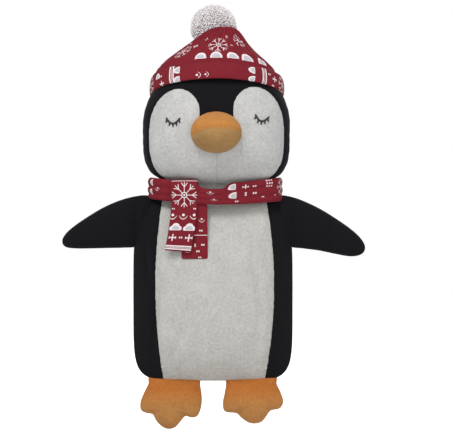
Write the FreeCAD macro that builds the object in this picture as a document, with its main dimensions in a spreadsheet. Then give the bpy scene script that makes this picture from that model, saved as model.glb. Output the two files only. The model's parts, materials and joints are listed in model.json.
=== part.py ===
"""Plush penguin with a flat body, a stuffed head, a bobble hat and a scarf.

Frame: +Z up, -Y to the front, millimetres. The origin is at the level of the longest toe's tip,
midway between the wing tips, and midway between the beak's tip and the hat's back.
"""

import FreeCAD
import Part

import math
import os

doc = FreeCAD.newDocument("plush_penguin")
sheet = doc.addObject("Spreadsheet::Sheet", "sizes")

# ---------------------------------------------------------------- driving dimensions

SIZES = (
    # cloth and making
    ("cloth", 1.6, "thickness of the short-pile plush cloth"),
    ("fit_gap", 0.3, "play between two pieces that lie on each other"),
    ("neck_gap", 7.0, "loose cloth between the body's top and the chin"),
    ("seam_gap", 3.0, "loose cloth between the body and a wing or a foot"),
    # flat body
    ("body_width", 175.0, "across the widest part"),
    ("body_depth", 48.0, "front to back at the middle"),
    ("belly_rise", 104.0, "from the widest level up to the body's top"),
    ("belly_drop", 105.0, "from the hem up to the widest level"),
    ("shoulder_round", 3.6, "exponent of the outline above the widest level"),
    ("hem_round", 7.0, "exponent of the outline below the widest level"),
    ("belly_round", 2.2, "exponent of the body's side view"),
    ("hem_depth", 7.0, "front to back at the stitched hem"),
    ("panel_width", 126.0, "pale belly panel at its widest"),
    ("panel_foot", 108.0, "pale belly panel at the hem"),
    ("back_flat", 1.0, "depth pressed flat at the middle of the back"),
    # head
    ("head_width", 162.0, "across the cheeks"),
    ("head_depth", 98.0, "front to back"),
    ("head_drop", 62.0, "from the widest level down to the chin"),
    ("head_rise", 76.0, "from the widest level up to the crown"),
    ("cheek_round", 4.0, "exponent of the outline below the widest level"),
    ("skull_round", 2.0, "exponent of the outline above the widest level"),
    ("face_round", 2.0, "exponent of the head's side view"),
    ("chin_depth", 22.0, "front to back at the chin and at the crown"),
    ("head_shift", 4.0, "head's centre off the body's centre"),
    # closed eyes
    ("eye_span", 98.0, "between the centres of the eyes"),
    ("eye_rise", 12.5, "centre of the lid's arc above the head's widest level"),
    ("lid_radius", 7.4, "radius of the stitched lid line"),
    ("lid_sweep", 130.0, "degrees that the lid line covers"),
    ("thread", 1.6, "thickness of the lid embroidery"),
    ("lash_thread", 1.3, "thickness of a stitched lash"),
    ("eye_lift", 0.8, "air under the embroidery, which bridges the pile"),
    ("lash", 3.2, "length of a stitched lash"),
    # white face patch
    ("lobe_width", 66.0, "white patch round one eye"),
    ("lobe_height", 112.0, "height of an eye patch"),
    ("lobe_span", 90.0, "between the centres of the two patches"),
    ("lobe_drop", 8.0, "centre of an eye patch below the head's widest level"),
    ("muzzle_width", 150.0, "white below the beak, at its widest"),
    ("muzzle_height", 72.0, "white below the beak, at its highest"),
    ("muzzle_rise", 30.0, "middle of the muzzle patch above the chin"),
    # beak
    ("beak_width", 56.0, "across the beak"),
    ("beak_height", 46.0, "top to bottom"),
    ("beak_reach", 31.0, "how far the beak stands out of its own centre"),
    ("beak_sink", 4.0, "centre of the beak inside the face"),
    ("beak_drop", 5.0, "centre of the beak below the head's widest level"),
    ("mouth_rise", 2.0, "seam between the halves above the beak's centre"),
    # hat
    ("hat_tilt", 20.0, "degrees that the hat sits back"),
    ("brim_rise", 36.0, "brim above the head's widest level at the sides"),
    ("cuff_side", 2.7, "outside of the cuff beyond the head's sides at the brim"),
    ("cuff_front", 7.5, "outside of the cuff beyond the head's face at the brim"),
    ("cuff_rise", 22.0, "folded height of the cuff"),
    ("cuff_cloth", 3.0, "thickness of the folded cuff"),
    ("cuff_back", 3.0, "centre of the cuff behind the head's centre"),
    ("crown_start", 12.0, "crown's hidden edge above the brim"),
    ("crown_rise", 57.0, "crown's hidden edge to its tip"),
    ("crown_round", 1.25, "exponent of the crown's outline"),
    ("crown_slouch", 9.0, "tip of the crown towards one side"),
    ("crown_lean", 36.0, "tip of the crown towards the front"),
    # pompom
    ("pompom_size", 49.0, "diameter of the pompom"),
    ("pompom_side", 3.5, "middle of the pompom from the head's centre"),
    ("pompom_slope", 58.0, "degrees of the tie thread from the brim's plane"),
    ("pompom_gap", 2.5, "tie thread between the crown and the pompom"),
    ("tie_thread", 2.4, "thickness of the pompom's tie"),
    # scarf
    ("band_side", 2.1, "play between the scarf and what it goes round, at the sides"),
    ("band_front", 3.5, "the same play in front and behind"),
    ("band_rise", 22.5, "height of the folded scarf"),
    ("band_cloth", 4.0, "thickness of the folded scarf"),
    ("band_drop", 12.0, "foot of the scarf below the body's top"),
    ("tail_width", 28.5, "width of a hanging end"),
    ("tail_cloth", 3.2, "thickness of a hanging end"),
    ("layer_gap", 0.6, "air between the layers of the scarf"),
    ("front_tail_length", 52.0, "front end, below the scarf"),
    ("rear_tail_length", 62.0, "rear end, below the scarf"),
    ("front_tail_side", 31.5, "middle of the front end from the middle of the body"),
    ("rear_tail_side", 20.5, "middle of the rear end from the middle of the body"),
    ("front_tail_slant", 6.0, "degrees that the front end hangs askew"),
    ("rear_tail_slant", 0.0, "degrees that the rear end hangs askew"),
    # wings
    ("wing_length", 77.0, "side seam to wing tip"),
    ("wing_root", 52.0, "height of a wing at its seam"),
    ("wing_round", 1.6, "exponent of a wing's outline"),
    ("wing_puff", 2.5, "exponent of a wing's thickness towards its tip"),
    ("wing_pinch", 0.85, "share of a wing's thickness lost where it is sewn on"),
    ("wing_depth", 20.0, "thickness of a stuffed wing"),
    ("wing_rise", 66.0, "middle of the wing seam above the body's widest level"),
    ("wing_lean", 11.0, "degrees that the side seam leans inwards"),
    ("left_droop", 32.0, "tip of the left wing below its seam's square"),
    ("right_droop", 39.0, "tip of the right wing below its seam's square"),
    # feet
    ("foot_side", 42.5, "middle of a foot from the middle of the body"),
    ("foot_turn", 5.0, "degrees that a foot points outwards"),
    ("ankle_width", 53.0, "width of a foot at its hem seam"),
    ("foot_width", 60.0, "width of a foot above its toes"),
    ("foot_depth", 22.0, "thickness of a stuffed foot"),
    ("left_foot_length", 50.0, "hem seam to the tip of the left foot's middle toe"),
    ("right_foot_length", 45.5, "hem seam to the tip of the right foot's middle toe"),
    ("toe_width", 35.0, "width of the middle toe"),
    ("side_toe_width", 27.0, "width of an outer toe"),
    ("side_toe_out", 20.0, "middle of an outer toe from the middle of the foot"),
    ("side_toe_short", 15.0, "outer toes end above the middle toe by this"),
)

for row, (alias, value, meaning) in enumerate(SIZES, start=1):
    sheet.set(f"A{row}", alias)
    sheet.set(f"B{row}", str(value))
    sheet.set(f"C{row}", meaning)
    sheet.setAlias(f"B{row}", alias)
doc.recompute()


def size(alias):
    """The value of one cell, in millimetres or degrees."""
    return float(sheet.get(alias))


# A stuffed form is a stack of level rings, at these shares of its height above or below its
# widest level. The outline's own share stops a little short of its end, so that the last rings
# still have a width.
STATIONS = (-1, -0.97, -0.9, -0.75, -0.5, 0, 0.5, 0.75, 0.9, 0.97, 1)
OUTLINE_END = 0.975


def bulge(share, exponent):
    """A rounded outline's half-width at this share of its half-height, as a share of its own."""
    return f"pow(1 - pow(abs({share}); {exponent}); 1 / {exponent})"


def head_half(share, outline):
    """Half the head's width and half its depth, this share of the way to its crown or chin."""
    edge = "sizes.chin_depth / 2"
    wide = f"sizes.head_width / 2 * {bulge(f'{OUTLINE_END} * {share}', outline)}"
    return wide, f"({edge} + (sizes.head_depth / 2 - {edge}) * {bulge(share, 'sizes.face_round')})"


# Levels and depths that follow from the driving dimensions, as expressions.
HEM = "(sizes.left_foot_length + sizes.seam_gap)"
BELLY_LEVEL = f"({HEM} + sizes.belly_drop)"
BODY_TOP = f"({BELLY_LEVEL} + sizes.belly_rise)"
HEAD_LEVEL = f"({BODY_TOP} + sizes.neck_gap + sizes.head_drop)"
BRIM_LEVEL = f"({HEAD_LEVEL} + sizes.brim_rise)"
BAND_FOOT = f"({BODY_TOP} - sizes.band_drop)"
WING_LEVEL = f"({BELLY_LEVEL} + sizes.wing_rise)"
FRONT_REACH = "(sizes.head_depth / 2 - sizes.beak_sink + sizes.beak_reach)"

# The cuff goes round the head at the brim. The scarf goes round the body at the scarf's foot and
# round the chin at its top, so it follows the larger of the two.
BRIM_WIDE, BRIM_DEEP = head_half("sizes.brim_rise / sizes.head_rise", "sizes.skull_round")
CUFF_WIDE = f"({BRIM_WIDE} + sizes.cuff_side)"
CUFF_DEEP = f"({BRIM_DEEP} + sizes.cuff_front)"
CHIN_SHARE = "min(1; 1 + (sizes.neck_gap + sizes.band_drop - sizes.band_rise) / sizes.head_drop)"
CHIN_WIDE, CHIN_DEEP = head_half(CHIN_SHARE, "sizes.cheek_round")
NECK_SHARE = f"{OUTLINE_END} * (1 - sizes.band_drop / sizes.belly_rise)"
NECK_WIDE = f"sizes.body_width / 2 * {bulge(NECK_SHARE, 'sizes.shoulder_round')}"
BAND_WIDE = f"(max({NECK_WIDE}; {CHIN_WIDE} + sizes.head_shift) + sizes.band_side + sizes.band_cloth)"
BAND_DEEP = f"(max(sizes.body_depth / 2; {CHIN_DEEP}) + sizes.band_front + sizes.band_cloth)"

CUFF_REACH = f"(({CUFF_DEEP} + sizes.cuff_back) * cos(sizes.hat_tilt)"
BACK_REACH = f"{CUFF_REACH} + sizes.cuff_rise * sin(sizes.hat_tilt))"
MID = f"(({FRONT_REACH} - {BACK_REACH}) / 2)"  # where the body's middle plane lies

# Inside a skin lies its wadding.
LINING = "sizes.cloth"
FILLING = "(sizes.cloth + 2 * sizes.fit_gap)"

X_AXIS = FreeCAD.Vector(1, 0, 0)
Y_AXIS = FreeCAD.Vector(0, 1, 0)
Z_AXIS = FreeCAD.Vector(0, 0, 1)
FAR = 500  # larger than the toy, in every direction

nodes = []

# ---------------------------------------------------------------- building blocks


def bind(obj, **expressions):
    """Binds properties of an object to expressions on the sheet."""
    for key, expression in expressions.items():
        obj.setExpression(key, expression)
    return obj


def place(obj, x, y, z, rotation=None):
    """Turns an object and binds its position."""
    if rotation:
        obj.Placement = FreeCAD.Placement(FreeCAD.Vector(), rotation)
    obj.setExpression("Placement.Base.x", x)
    obj.setExpression("Placement.Base.y", y)
    obj.setExpression("Placement.Base.z", z)
    return obj


def loft(name, sections):
    form = doc.addObject("Part::Loft", name)
    form.Sections = sections
    form.Solid = True
    form.Ruled = False
    return form


def cut(name, base, tool):
    made = doc.addObject("Part::Cut", name)
    made.Base, made.Tool = base, tool
    return made


def common(name, base, tool):
    made = doc.addObject("Part::Common", name)
    made.Base, made.Tool = base, tool
    return made


def fuse(name, shapes):
    made = doc.addObject("Part::MultiFuse", name)
    made.Shapes = shapes
    return made


def extrude(name, base, direction, length):
    made = doc.addObject("Part::Extrusion", name)
    made.Base = base
    made.DirMode = "Custom"
    made.Dir = direction
    made.Solid = True
    return bind(made, LengthFwd=length)


def half_space(name, x=f"-{FAR}", y=f"-{FAR}", z=f"-{FAR}"):
    """A block far larger than the toy, with its lowest corner at the given place."""
    block = doc.addObject("Part::Box", name)
    block.Length = block.Width = block.Height = 2 * FAR
    return place(block, x, y, z)


SIDES = 12


def sided_ball(name, across, deep, tall, inset):
    """A stuffed ball as a many-sided form, this large overall.

    The real ball is round. Flat facets stand in for it so that it rests steadily on a flat floor
    and its collision hull stays simple.
    """
    cloth = {"0": 0, LINING: size("cloth"), FILLING: size("cloth") + 2 * size("fit_gap")}[inset]
    # The facets' middles, not their edges, touch the size that is asked for.
    edge_out = 1 / math.cos(math.pi / SIDES)
    wide, thick = (across / 2 - cloth) * edge_out, (deep / 2 - cloth) * edge_out
    high = tall / 2 - cloth
    rings = []
    for level in (-2 / 3, -1 / 3, 0, 1 / 3, 2 / 3):
        turns = [2 * math.pi * (k + 0.5) / SIDES for k in range(SIDES)]
        reach, z = math.cos(level * math.pi / 2), high * math.sin(level * math.pi / 2)
        rings.append([(wide * reach * math.cos(t), thick * reach * math.sin(t), z) for t in turns])
    foot, top = (0, 0, -high), (0, 0, high)
    patches = []
    for k in range(SIDES):
        after = (k + 1) % SIDES
        patches.append((foot, rings[0][after], rings[0][k]))
        patches.append((top, rings[-1][k], rings[-1][after]))
        for lower, upper in zip(rings, rings[1:]):
            patches.append((lower[k], lower[after], upper[after], upper[k]))
    faces = [Part.Face(Part.makePolygon([*patch, patch[0]])) for patch in patches]
    ball = doc.addObject("Part::Feature", name)
    ball.Shape = Part.Solid(Part.Shell(faces))
    return ball


def node(label, obj):
    """Gives a finished sub-part its name and lists it for export."""
    obj.Label = label
    nodes.append(obj)


def pillow(name, part, low, high, side, edge, x, level, inset):
    """A stuffed form made of level ellipses, of which the sheet gives width, depth, drop and rise.

    Its outline is rounded by the exponents low and high below and above its widest level, its side
    view by side. inset takes cloth off all round, and edge is the depth left at its ends.
    """
    width, depth, drop, rise = (f"sizes.{word}" for word in part)
    rings = []
    for number, share in enumerate(STATIONS):
        reach, outline = (drop, low) if share < 0 else (rise, high)
        ring = doc.addObject("Part::Ellipse", f"{name}_ring{number}")
        bind(
            ring,
            MajorRadius=f"({width} / 2) * {bulge(share * OUTLINE_END, outline)} - {inset}",
            MinorRadius=f"{edge} / 2 + ({depth} - {edge}) / 2 * {bulge(share, side)} - {inset}",
        )
        rings.append(place(ring, x, MID, f"{level} + ({reach} - {inset}) * {share}"))
    return loft(name, rings)


front_half = half_space("front_half", y=f"{MID} - {2 * FAR}")
back_half = half_space("back_half", y=MID)

# ---------------------------------------------------------------- flat body


def body_form(name, inset):
    part = ("body_width", "body_depth", "belly_drop", "belly_rise")
    outline = ("sizes.hem_round", "sizes.shoulder_round", "sizes.belly_round")
    return pillow(name, part, *outline, "sizes.hem_depth", "0", BELLY_LEVEL, inset)


def belly_stamp():
    """A barrel-shaped bar whose sides are two large arcs, wide at the middle."""
    foot, widest = size("panel_foot") / 2, size("panel_width") / 2
    low = size("left_foot_length") + size("seam_gap")
    high = low + size("belly_drop") + size("belly_rise")
    middle = (low + high) / 2
    places = ((-foot, low), (foot, low), (foot, high), (-foot, high))
    corners = [FreeCAD.Vector(x, -FAR, z) for x, z in places]
    edges = [
        Part.LineSegment(corners[0], corners[1]),
        Part.Arc(corners[1], FreeCAD.Vector(widest, -FAR, middle), corners[2]),
        Part.LineSegment(corners[2], corners[3]),
        Part.Arc(corners[3], FreeCAD.Vector(-widest, -FAR, middle), corners[0]),
    ]
    outline = Part.Face(Part.Wire([edge.toShape() for edge in edges]))
    stamp = doc.addObject("Part::Feature", "belly_stamp")
    stamp.Shape = outline.extrude(FreeCAD.Vector(0, 2 * FAR, 0))
    return stamp


def make_body():
    """Front and back panels of cloth meet in a seam all round, over flat wadding."""
    back_limit = f"{MID} + sizes.body_depth / 2 - sizes.back_flat - {2 * FAR}"
    form = body_form("body_form", "0")
    pressed = common("body_pressed", form, half_space("back_limit", y=back_limit))
    cloth = cut("body_cloth", pressed, body_form("body_lining", LINING))
    node("body_wadding", body_form("body_filling", FILLING))
    front = common("body_front", cloth, front_half)
    stamp = belly_stamp()
    sides = cut("body_sides", front, stamp)
    node("belly_panel", common("belly_cut", front, stamp))
    node("side_panel_left", common("side_left", sides, half_space("left_side", x=f"-{2 * FAR}")))
    node("side_panel_right", common("side_right", sides, half_space("right_side", x="0")))
    node("back_panel", common("body_back", cloth, back_half))


# ---------------------------------------------------------------- head and face


def head_form(name, inset):
    part = ("head_width", "head_depth", "head_drop", "head_rise")
    outline = ("sizes.cheek_round", "sizes.skull_round", "sizes.face_round")
    return pillow(name, part, *outline, "sizes.chin_depth", "sizes.head_shift", HEAD_LEVEL, inset)


def face_bar(name, width, height, x, z):
    """An upright ellipse drawn out from front to back, taller than wide or wider than tall."""
    oval = doc.addObject("Part::Ellipse", f"{name}_oval")
    upright = size(height) > size(width)
    long_axis, short_axis = (height, width) if upright else (width, height)
    bind(oval, MajorRadius=f"sizes.{long_axis} / 2", MinorRadius=f"sizes.{short_axis} / 2")
    lay = FreeCAD.Rotation(X_AXIS, 90)
    if upright:
        lay = FreeCAD.Rotation(Y_AXIS, 90).multiply(lay)
    place(oval, x, f"-{FAR}", z, lay)
    return extrude(name, oval, Y_AXIS, str(2 * FAR))


def make_head():
    """White face, black forehead and black back, each side with its own panel, over wadding."""
    cloth = cut("head_cloth", head_form("head_form", "0"), head_form("head_lining", LINING))
    node("head_wadding", head_form("head_filling", FILLING))
    bars = [
        face_bar(
            f"eye_patch_{side}",
            "lobe_width",
            "lobe_height",
            f"sizes.head_shift + {sign} * sizes.lobe_span / 2",
            f"{HEAD_LEVEL} - sizes.lobe_drop",
        )
        for side, sign in (("left", -1), ("right", 1))
    ]
    muzzle_level = f"{HEAD_LEVEL} - sizes.head_drop + sizes.muzzle_rise"
    muzzle = ("muzzle_patch", "muzzle_width", "muzzle_height")
    bars.append(face_bar(*muzzle, "sizes.head_shift", muzzle_level))
    patch = fuse("face_patch", bars)
    front = common("head_front", cloth, front_half)
    back = common("head_back", cloth, back_half)
    white = common("face_cloth", front, patch)
    node("forehead_panel", cut("forehead", front, patch))
    left = half_space("head_left", x=f"sizes.head_shift - {2 * FAR}")
    right = half_space("head_right", x="sizes.head_shift")
    for side, half in (("left", left), ("right", right)):
        node(f"face_panel_{side}", common(f"face_{side}", white, half))
        node(f"head_back_{side}", common(f"nape_{side}", back, half))


def face_point(out, rise):
    """Depth of the head's face this far out and up, and the sideways slope there in degrees."""
    skull = size("skull_round")
    width = size("head_width") / 2
    width *= (1 - (OUTLINE_END * rise / size("head_rise")) ** skull) ** (1 / skull)
    edge = size("chin_depth") / 2
    depth = edge + (size("head_depth") / 2 - edge) * math.sqrt(1 - (rise / size("head_rise")) ** 2)
    reach = depth * math.sqrt(1 - (out / width) ** 2)
    return reach, math.degrees(math.atan2(out / width**2, reach / depth**2))


LASHES = (-42, -15, 15, 42)  # degrees of each lash from straight down


def make_eye(side, sign):
    """A closed eye: a lid line sewn as a shallow arc, with short lashes below it."""
    lid = doc.addObject("Part::Torus", f"lid_{side}")
    bind(lid, Radius1="sizes.lid_radius", Radius2="sizes.thread / 2", Angle3="sizes.lid_sweep")
    # The arc hangs below its centre, the same on both sides.
    half_sweep = size("lid_sweep") / 2
    stand = FreeCAD.Rotation(X_AXIS, 90)
    place(lid, "0", "0", "0", stand.multiply(FreeCAD.Rotation(Z_AXIS, -90 - half_sweep)))
    strands = [lid]
    for number, lean in enumerate(LASHES):
        strand = doc.addObject("Part::Cylinder", f"lash_{side}{number}")
        bind(strand, Radius="sizes.lash_thread / 2", Height="sizes.lash")
        way = FreeCAD.Rotation(Y_AXIS, 180 - lean)
        across, down = f"sin({lean})", f"-cos({lean})"
        x, z = f"sizes.lid_radius * {across}", f"sizes.lid_radius * {down}"
        strands.append(place(strand, x, "0", z, way))
    out, rise = size("eye_span") / 2, size("eye_rise")
    reach, swing = face_point(out, rise)
    proud = size("thread") / 2 + size("eye_lift")
    x = f"sizes.head_shift + {sign * (out + proud * math.sin(math.radians(swing)))}"
    y = f"{MID} - {reach + proud * math.cos(math.radians(swing))}"
    eye = fuse(f"eye_{side}", strands)
    place(eye, x, y, f"{HEAD_LEVEL} + sizes.eye_rise", FreeCAD.Rotation(Z_AXIS, sign * swing))
    node(f"eye_stitching_{side}", eye)


def beak_form(name, inset):
    form = sided_ball(name, size("beak_width"), 2 * size("beak_reach"), size("beak_height"), inset)
    centre = f"{MID} - sizes.head_depth / 2 + sizes.beak_sink"
    return place(form, "sizes.head_shift", centre, f"{HEAD_LEVEL} - sizes.beak_drop")


def make_beak(head_room):
    """An upper and a lower half of cloth, sewn together round the mouth line, over wadding."""
    cloth = cut("beak_cloth", beak_form("beak_form", "0"), beak_form("beak_lining", LINING))
    shell = cut("beak_shell", cloth, head_room)
    mouth = f"{HEAD_LEVEL} - sizes.beak_drop + sizes.mouth_rise"
    node("beak_upper", common("beak_above", shell, half_space("above_mouth", z=mouth)))
    below = half_space("below_mouth", z=f"{mouth} - {2 * FAR}")
    node("beak_lower", common("beak_below", shell, below))
    node("beak_wadding", cut("beak_filling", beak_form("beak_stuffing", FILLING), head_room))


# ---------------------------------------------------------------- hat and pompom


def hat_place(obj, x, y, z, rotation=None):
    """Places an object by the hat's own axes, which lean back from the brim's centre."""
    tilt = "sizes.hat_tilt"
    rotation = rotation or FreeCAD.Rotation(X_AXIS, -size("hat_tilt"))
    return place(
        obj,
        f"sizes.head_shift + {x}",
        f"{MID} + ({y}) * cos({tilt}) + ({z}) * sin({tilt})",
        f"{BRIM_LEVEL} - ({y}) * sin({tilt}) + ({z}) * cos({tilt})",
        rotation,
    )


def cuff_bar(name, inset, start, length):
    """An oval bar along the hat's own axis."""
    oval = doc.addObject("Part::Ellipse", f"{name}_oval")
    bind(
        oval,
        MajorRadius=f"{CUFF_WIDE} - {inset}",
        MinorRadius=f"{CUFF_DEEP} - {inset}",
    )
    hat_place(oval, "0", "sizes.cuff_back", start)
    tilt = math.radians(size("hat_tilt"))
    return extrude(name, oval, FreeCAD.Vector(0, math.sin(tilt), math.cos(tilt)), length)


CROWN_STATIONS = (0, 0.15, 0.3, 0.45, 0.6, 0.75, 0.88, 0.96)


def drift(share):
    """The crown leaves its own axis slowly at first."""
    return f"pow({share}; 1.5)"


def crown_form(name, inset):
    """The crown narrows to a gathered tip, which slouches sideways and leans forwards."""
    play = f"(sizes.cuff_cloth + sizes.fit_gap + {inset})"
    rings = []
    for number, share in enumerate(CROWN_STATIONS):
        narrow = bulge(share, "sizes.crown_round")
        ring = doc.addObject("Part::Ellipse", f"{name}_ring{number}")
        bind(
            ring,
            MajorRadius=f"({CUFF_WIDE} - {play}) * {narrow}",
            MinorRadius=f"({CUFF_DEEP} - {play}) * {narrow}",
        )
        hat_place(
            ring,
            f"sizes.crown_slouch * {drift(share)}",
            f"sizes.cuff_back - sizes.crown_lean * {drift(share)}",
            f"sizes.crown_start + (sizes.crown_rise - {inset}) * {share}",
        )
        rings.append(ring)
    return loft(name, rings)


def make_hat(head_room):
    """A folded cuff round the head, and a crown of one cloth gathered at its tip."""
    spare = 5
    outer = cuff_bar("cuff_outer", "0", "0", "sizes.cuff_rise")
    inner = cuff_bar("cuff_inner", "sizes.cuff_cloth", f"-{spare}", f"sizes.cuff_rise + {2 * spare}")
    node("hat_cuff", cut("cuff", cut("cuff_ring", outer, inner), head_room))
    shell = cut("crown_shell", crown_form("crown_form", "0"), crown_form("crown_lining", LINING))
    node("hat_crown", cut("crown", shell, head_room))


TIE_SHARE = 0.84  # the tie thread leaves the crown's back slope at this share of its rise


def from_tie(distance):
    """A point on the tie's line, this far out from the crown, as the hat's x, y and z."""
    crown = f"sizes.cuff_back - sizes.crown_lean * {drift(TIE_SHARE)}"
    slope = f"({CUFF_DEEP} - sizes.cuff_cloth) * {bulge(TIE_SHARE, 'sizes.crown_round')}"
    out, up = f"({distance}) * cos(sizes.pompom_slope)", f"({distance}) * sin(sizes.pompom_slope)"
    y = f"{crown} + {slope} + {out}"
    return "-sizes.pompom_side", y, f"sizes.crown_start + sizes.crown_rise * {TIE_SHARE} + {up}"


def tie_bar(name, play, start, length):
    bar = doc.addObject("Part::Cylinder", name)
    bind(bar, Radius=f"sizes.tie_thread / 2 + {play}", Height=length)
    lean = FreeCAD.Rotation(X_AXIS, -size("hat_tilt") - 90 + size("pompom_slope"))
    return hat_place(bar, *from_tie(start), lean)


def make_pompom():
    """A yarn ball behind the crown's tip, held by a thread that reaches its middle."""
    ball = doc.addObject("Part::Sphere", "pompom_ball")
    bind(ball, Radius="sizes.pompom_size / 2")
    hat_place(ball, *from_tie("sizes.pompom_gap + sizes.pompom_size / 2"))
    reach = "sizes.pompom_size / 2 + sizes.pompom_gap"
    bore = tie_bar("pompom_bore", "sizes.fit_gap", "0", f"{reach} + 1")
    node("pompom", cut("pompom_cut", ball, bore))
    node("pompom_tie", tie_bar("tie", "0", "1", f"{reach} - 1"))


# ---------------------------------------------------------------- scarf


def oval_bar(name, inset, start, length):
    """A level oval bar round the neck."""
    oval = doc.addObject("Part::Ellipse", f"{name}_oval")
    bind(
        oval,
        MajorRadius=f"{BAND_WIDE} - ({inset})",
        MinorRadius=f"{BAND_DEEP} - ({inset})",
    )
    place(oval, "0", MID, start)
    return extrude(name, oval, Z_AXIS, length)


def make_scarf():
    """A folded band round the neck, an end that wraps over it, and two hanging ends."""
    outer = oval_bar("band_outer", "0", BAND_FOOT, "sizes.band_rise")
    inner = oval_bar("band_inner", "sizes.band_cloth", BAND_FOOT, "sizes.band_rise")
    node("scarf_band", cut("band", outer, inner))
    over = oval_bar("wrap_outer", "-sizes.layer_gap - sizes.tail_cloth", BAND_FOOT, "sizes.band_rise")
    under = oval_bar("wrap_inner", "-sizes.layer_gap", BAND_FOOT, "sizes.band_rise")
    window = doc.addObject("Part::Box", "wrap_window")
    bind(window, Length="sizes.tail_width", Width=f"{BAND_DEEP} * 2", Height="sizes.band_rise")
    left = "-sizes.front_tail_side - sizes.tail_width / 2"
    place(window, left, f"{MID} - {BAND_DEEP} * 2 - sizes.layer_gap", BAND_FOOT)
    node("scarf_wrap", common("wrap", cut("wrap_ring", over, under), window))
    rear = "sizes.body_depth / 2 + sizes.layer_gap + sizes.tail_cloth"
    make_tail("rear", rear)
    make_tail("front", f"{rear} + sizes.layer_gap + sizes.tail_cloth")


def make_tail(layer, reach):
    """A flat end that hangs askew from just below the band; its higher top corner keeps the gap."""
    tail = doc.addObject("Part::Box", f"tail_{layer}")
    length, slant = f"sizes.{layer}_tail_length", f"sizes.{layer}_tail_slant"
    bind(tail, Length="sizes.tail_width", Width="sizes.tail_cloth", Height=length)
    # The box is placed by its lower left corner.
    x = f"-sizes.{layer}_tail_side - {length} * sin({slant}) - sizes.tail_width / 2 * cos({slant})"
    z = f"{BAND_FOOT} - sizes.layer_gap - {length} * cos({slant})"
    turned = FreeCAD.Rotation(Y_AXIS, size(f"{layer}_tail_slant"))
    place(tail, x, f"{MID} - ({reach})", z, turned)
    node(f"scarf_tail_{layer}", tail)


# ---------------------------------------------------------------- wings

WING_STATIONS = (0.015, 0.08, 0.18, 0.35, 0.52, 0.68, 0.82, 0.92, 0.975)
WING_FILLED_FROM = 1  # the first station is too thin to hold wadding


def wing_seam():
    """The body's half-width at the wing seam's middle, as an expression."""
    share = f"(sizes.wing_rise / sizes.belly_rise * {OUTLINE_END})"
    rounded = f"pow(1 - pow({share}; sizes.shoulder_round); 1 / sizes.shoulder_round)"
    return f"sizes.body_width / 2 * {rounded} + sizes.seam_gap"


def wing_form(name, sign, droop, inset):
    """Rings that stand along the side seam and shrink towards a drooping tip."""
    lean = "sizes.wing_lean"
    stations = WING_STATIONS if inset == "0" else WING_STATIONS[WING_FILLED_FROM:]
    rings = []
    for number, share in enumerate(stations):
        ring = doc.addObject("Part::Ellipse", f"{name}_ring{number}")
        # A wing is thin where it is sewn on, and swells within its first third.
        swell = f"(1 - sizes.wing_pinch * pow(1 - {share}; 7))"
        bind(
            ring,
            MajorRadius=f"sizes.wing_root / 2 * {bulge(share, 'sizes.wing_round')} - {inset}",
            MinorRadius=f"sizes.wing_depth / 2 * {bulge(share, 'sizes.wing_puff')} * {swell} - {inset}",
        )
        out = f"(sizes.wing_length * {share} + {inset} * (1 - 2 * {share}))"
        fall = f"{droop} * pow({share}; 1.5)"
        place(
            ring,
            f"{sign} * ({wing_seam()} + {out} * cos({lean}) + {fall} * sin({lean}))",
            MID,
            f"{WING_LEVEL} + {out} * sin({lean}) - {fall} * cos({lean})",
            FreeCAD.Rotation(Y_AXIS, -90 - sign * size("wing_lean")),
        )
        rings.append(ring)
    return loft(name, rings)


def make_wing(side, sign):
    droop = f"sizes.{side}_droop"
    form = wing_form(f"wing_form_{side}", sign, droop, "0")
    cloth = cut(f"wing_cloth_{side}", form, wing_form(f"wing_lining_{side}", sign, droop, LINING))
    node(f"wing_{side}_front", common(f"wing_front_{side}", cloth, front_half))
    node(f"wing_{side}_back", common(f"wing_back_{side}", cloth, back_half))
    node(f"wing_{side}_wadding", wing_form(f"wing_filling_{side}", sign, droop, FILLING))


# ---------------------------------------------------------------- feet

# Rings of a foot below its hinge: shares of its length, of its depth and of its spread.
FOOT_RINGS = ((0.02, 0.18, 0), (0.1, 0.36, 0.3), (0.24, 0.7, 0.8), (0.4, 0.88, 1), (0.56, 0.86, 0.8))


def foot_form(name, sign, length, inset):
    """A fan that is thin at the hem and ends in three round toes."""
    hinge = "sizes.left_foot_length"
    turned = FreeCAD.Rotation(Y_AXIS, -sign * size("foot_turn"))
    side = f"{sign} * sizes.foot_side"
    turn = f"{sign} * sizes.foot_turn"

    def spot(obj, across, below):
        x = f"{side} + ({across}) * cos({turn}) + ({below}) * sin({turn})"
        z = f"{hinge} + ({across}) * sin({turn}) - ({below}) * cos({turn})"
        return place(obj, x, MID, z, turned)

    # The first ring is too thin to hold wadding, which starts inside the second.
    filled = inset != "0"
    rings = []
    for number, (below, thick, spread) in enumerate(FOOT_RINGS[filled:]):
        ring = doc.addObject("Part::Ellipse", f"{name}_ring{number}")
        width = f"sizes.ankle_width + (sizes.foot_width - sizes.ankle_width) * {spread}"
        bind(
            ring,
            MajorRadius=f"({width}) / 2 - {inset}",
            MinorRadius=f"sizes.foot_depth / 2 * {thick} - {inset}",
        )
        start = f"{length} * {below}" + (f" + {inset}" if number == 0 else "")
        rings.append(spot(ring, "0", start))
    pieces = [loft(f"{name}_palm", rings)]
    toes = (
        ("inner", "-sizes.side_toe_out", "side_toe_width", "sizes.side_toe_short"),
        ("middle", "0", "toe_width", "0"),
        ("outer", "sizes.side_toe_out", "side_toe_width", "sizes.side_toe_short"),
    )
    for toe, across, width, short in toes:
        ball = sided_ball(f"{name}_{toe}", size(width), size("foot_depth"), size(width), inset)
        pieces.append(spot(ball, across, f"{length} - {short} - sizes.{width} / 2"))
    return fuse(name, pieces)


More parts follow.
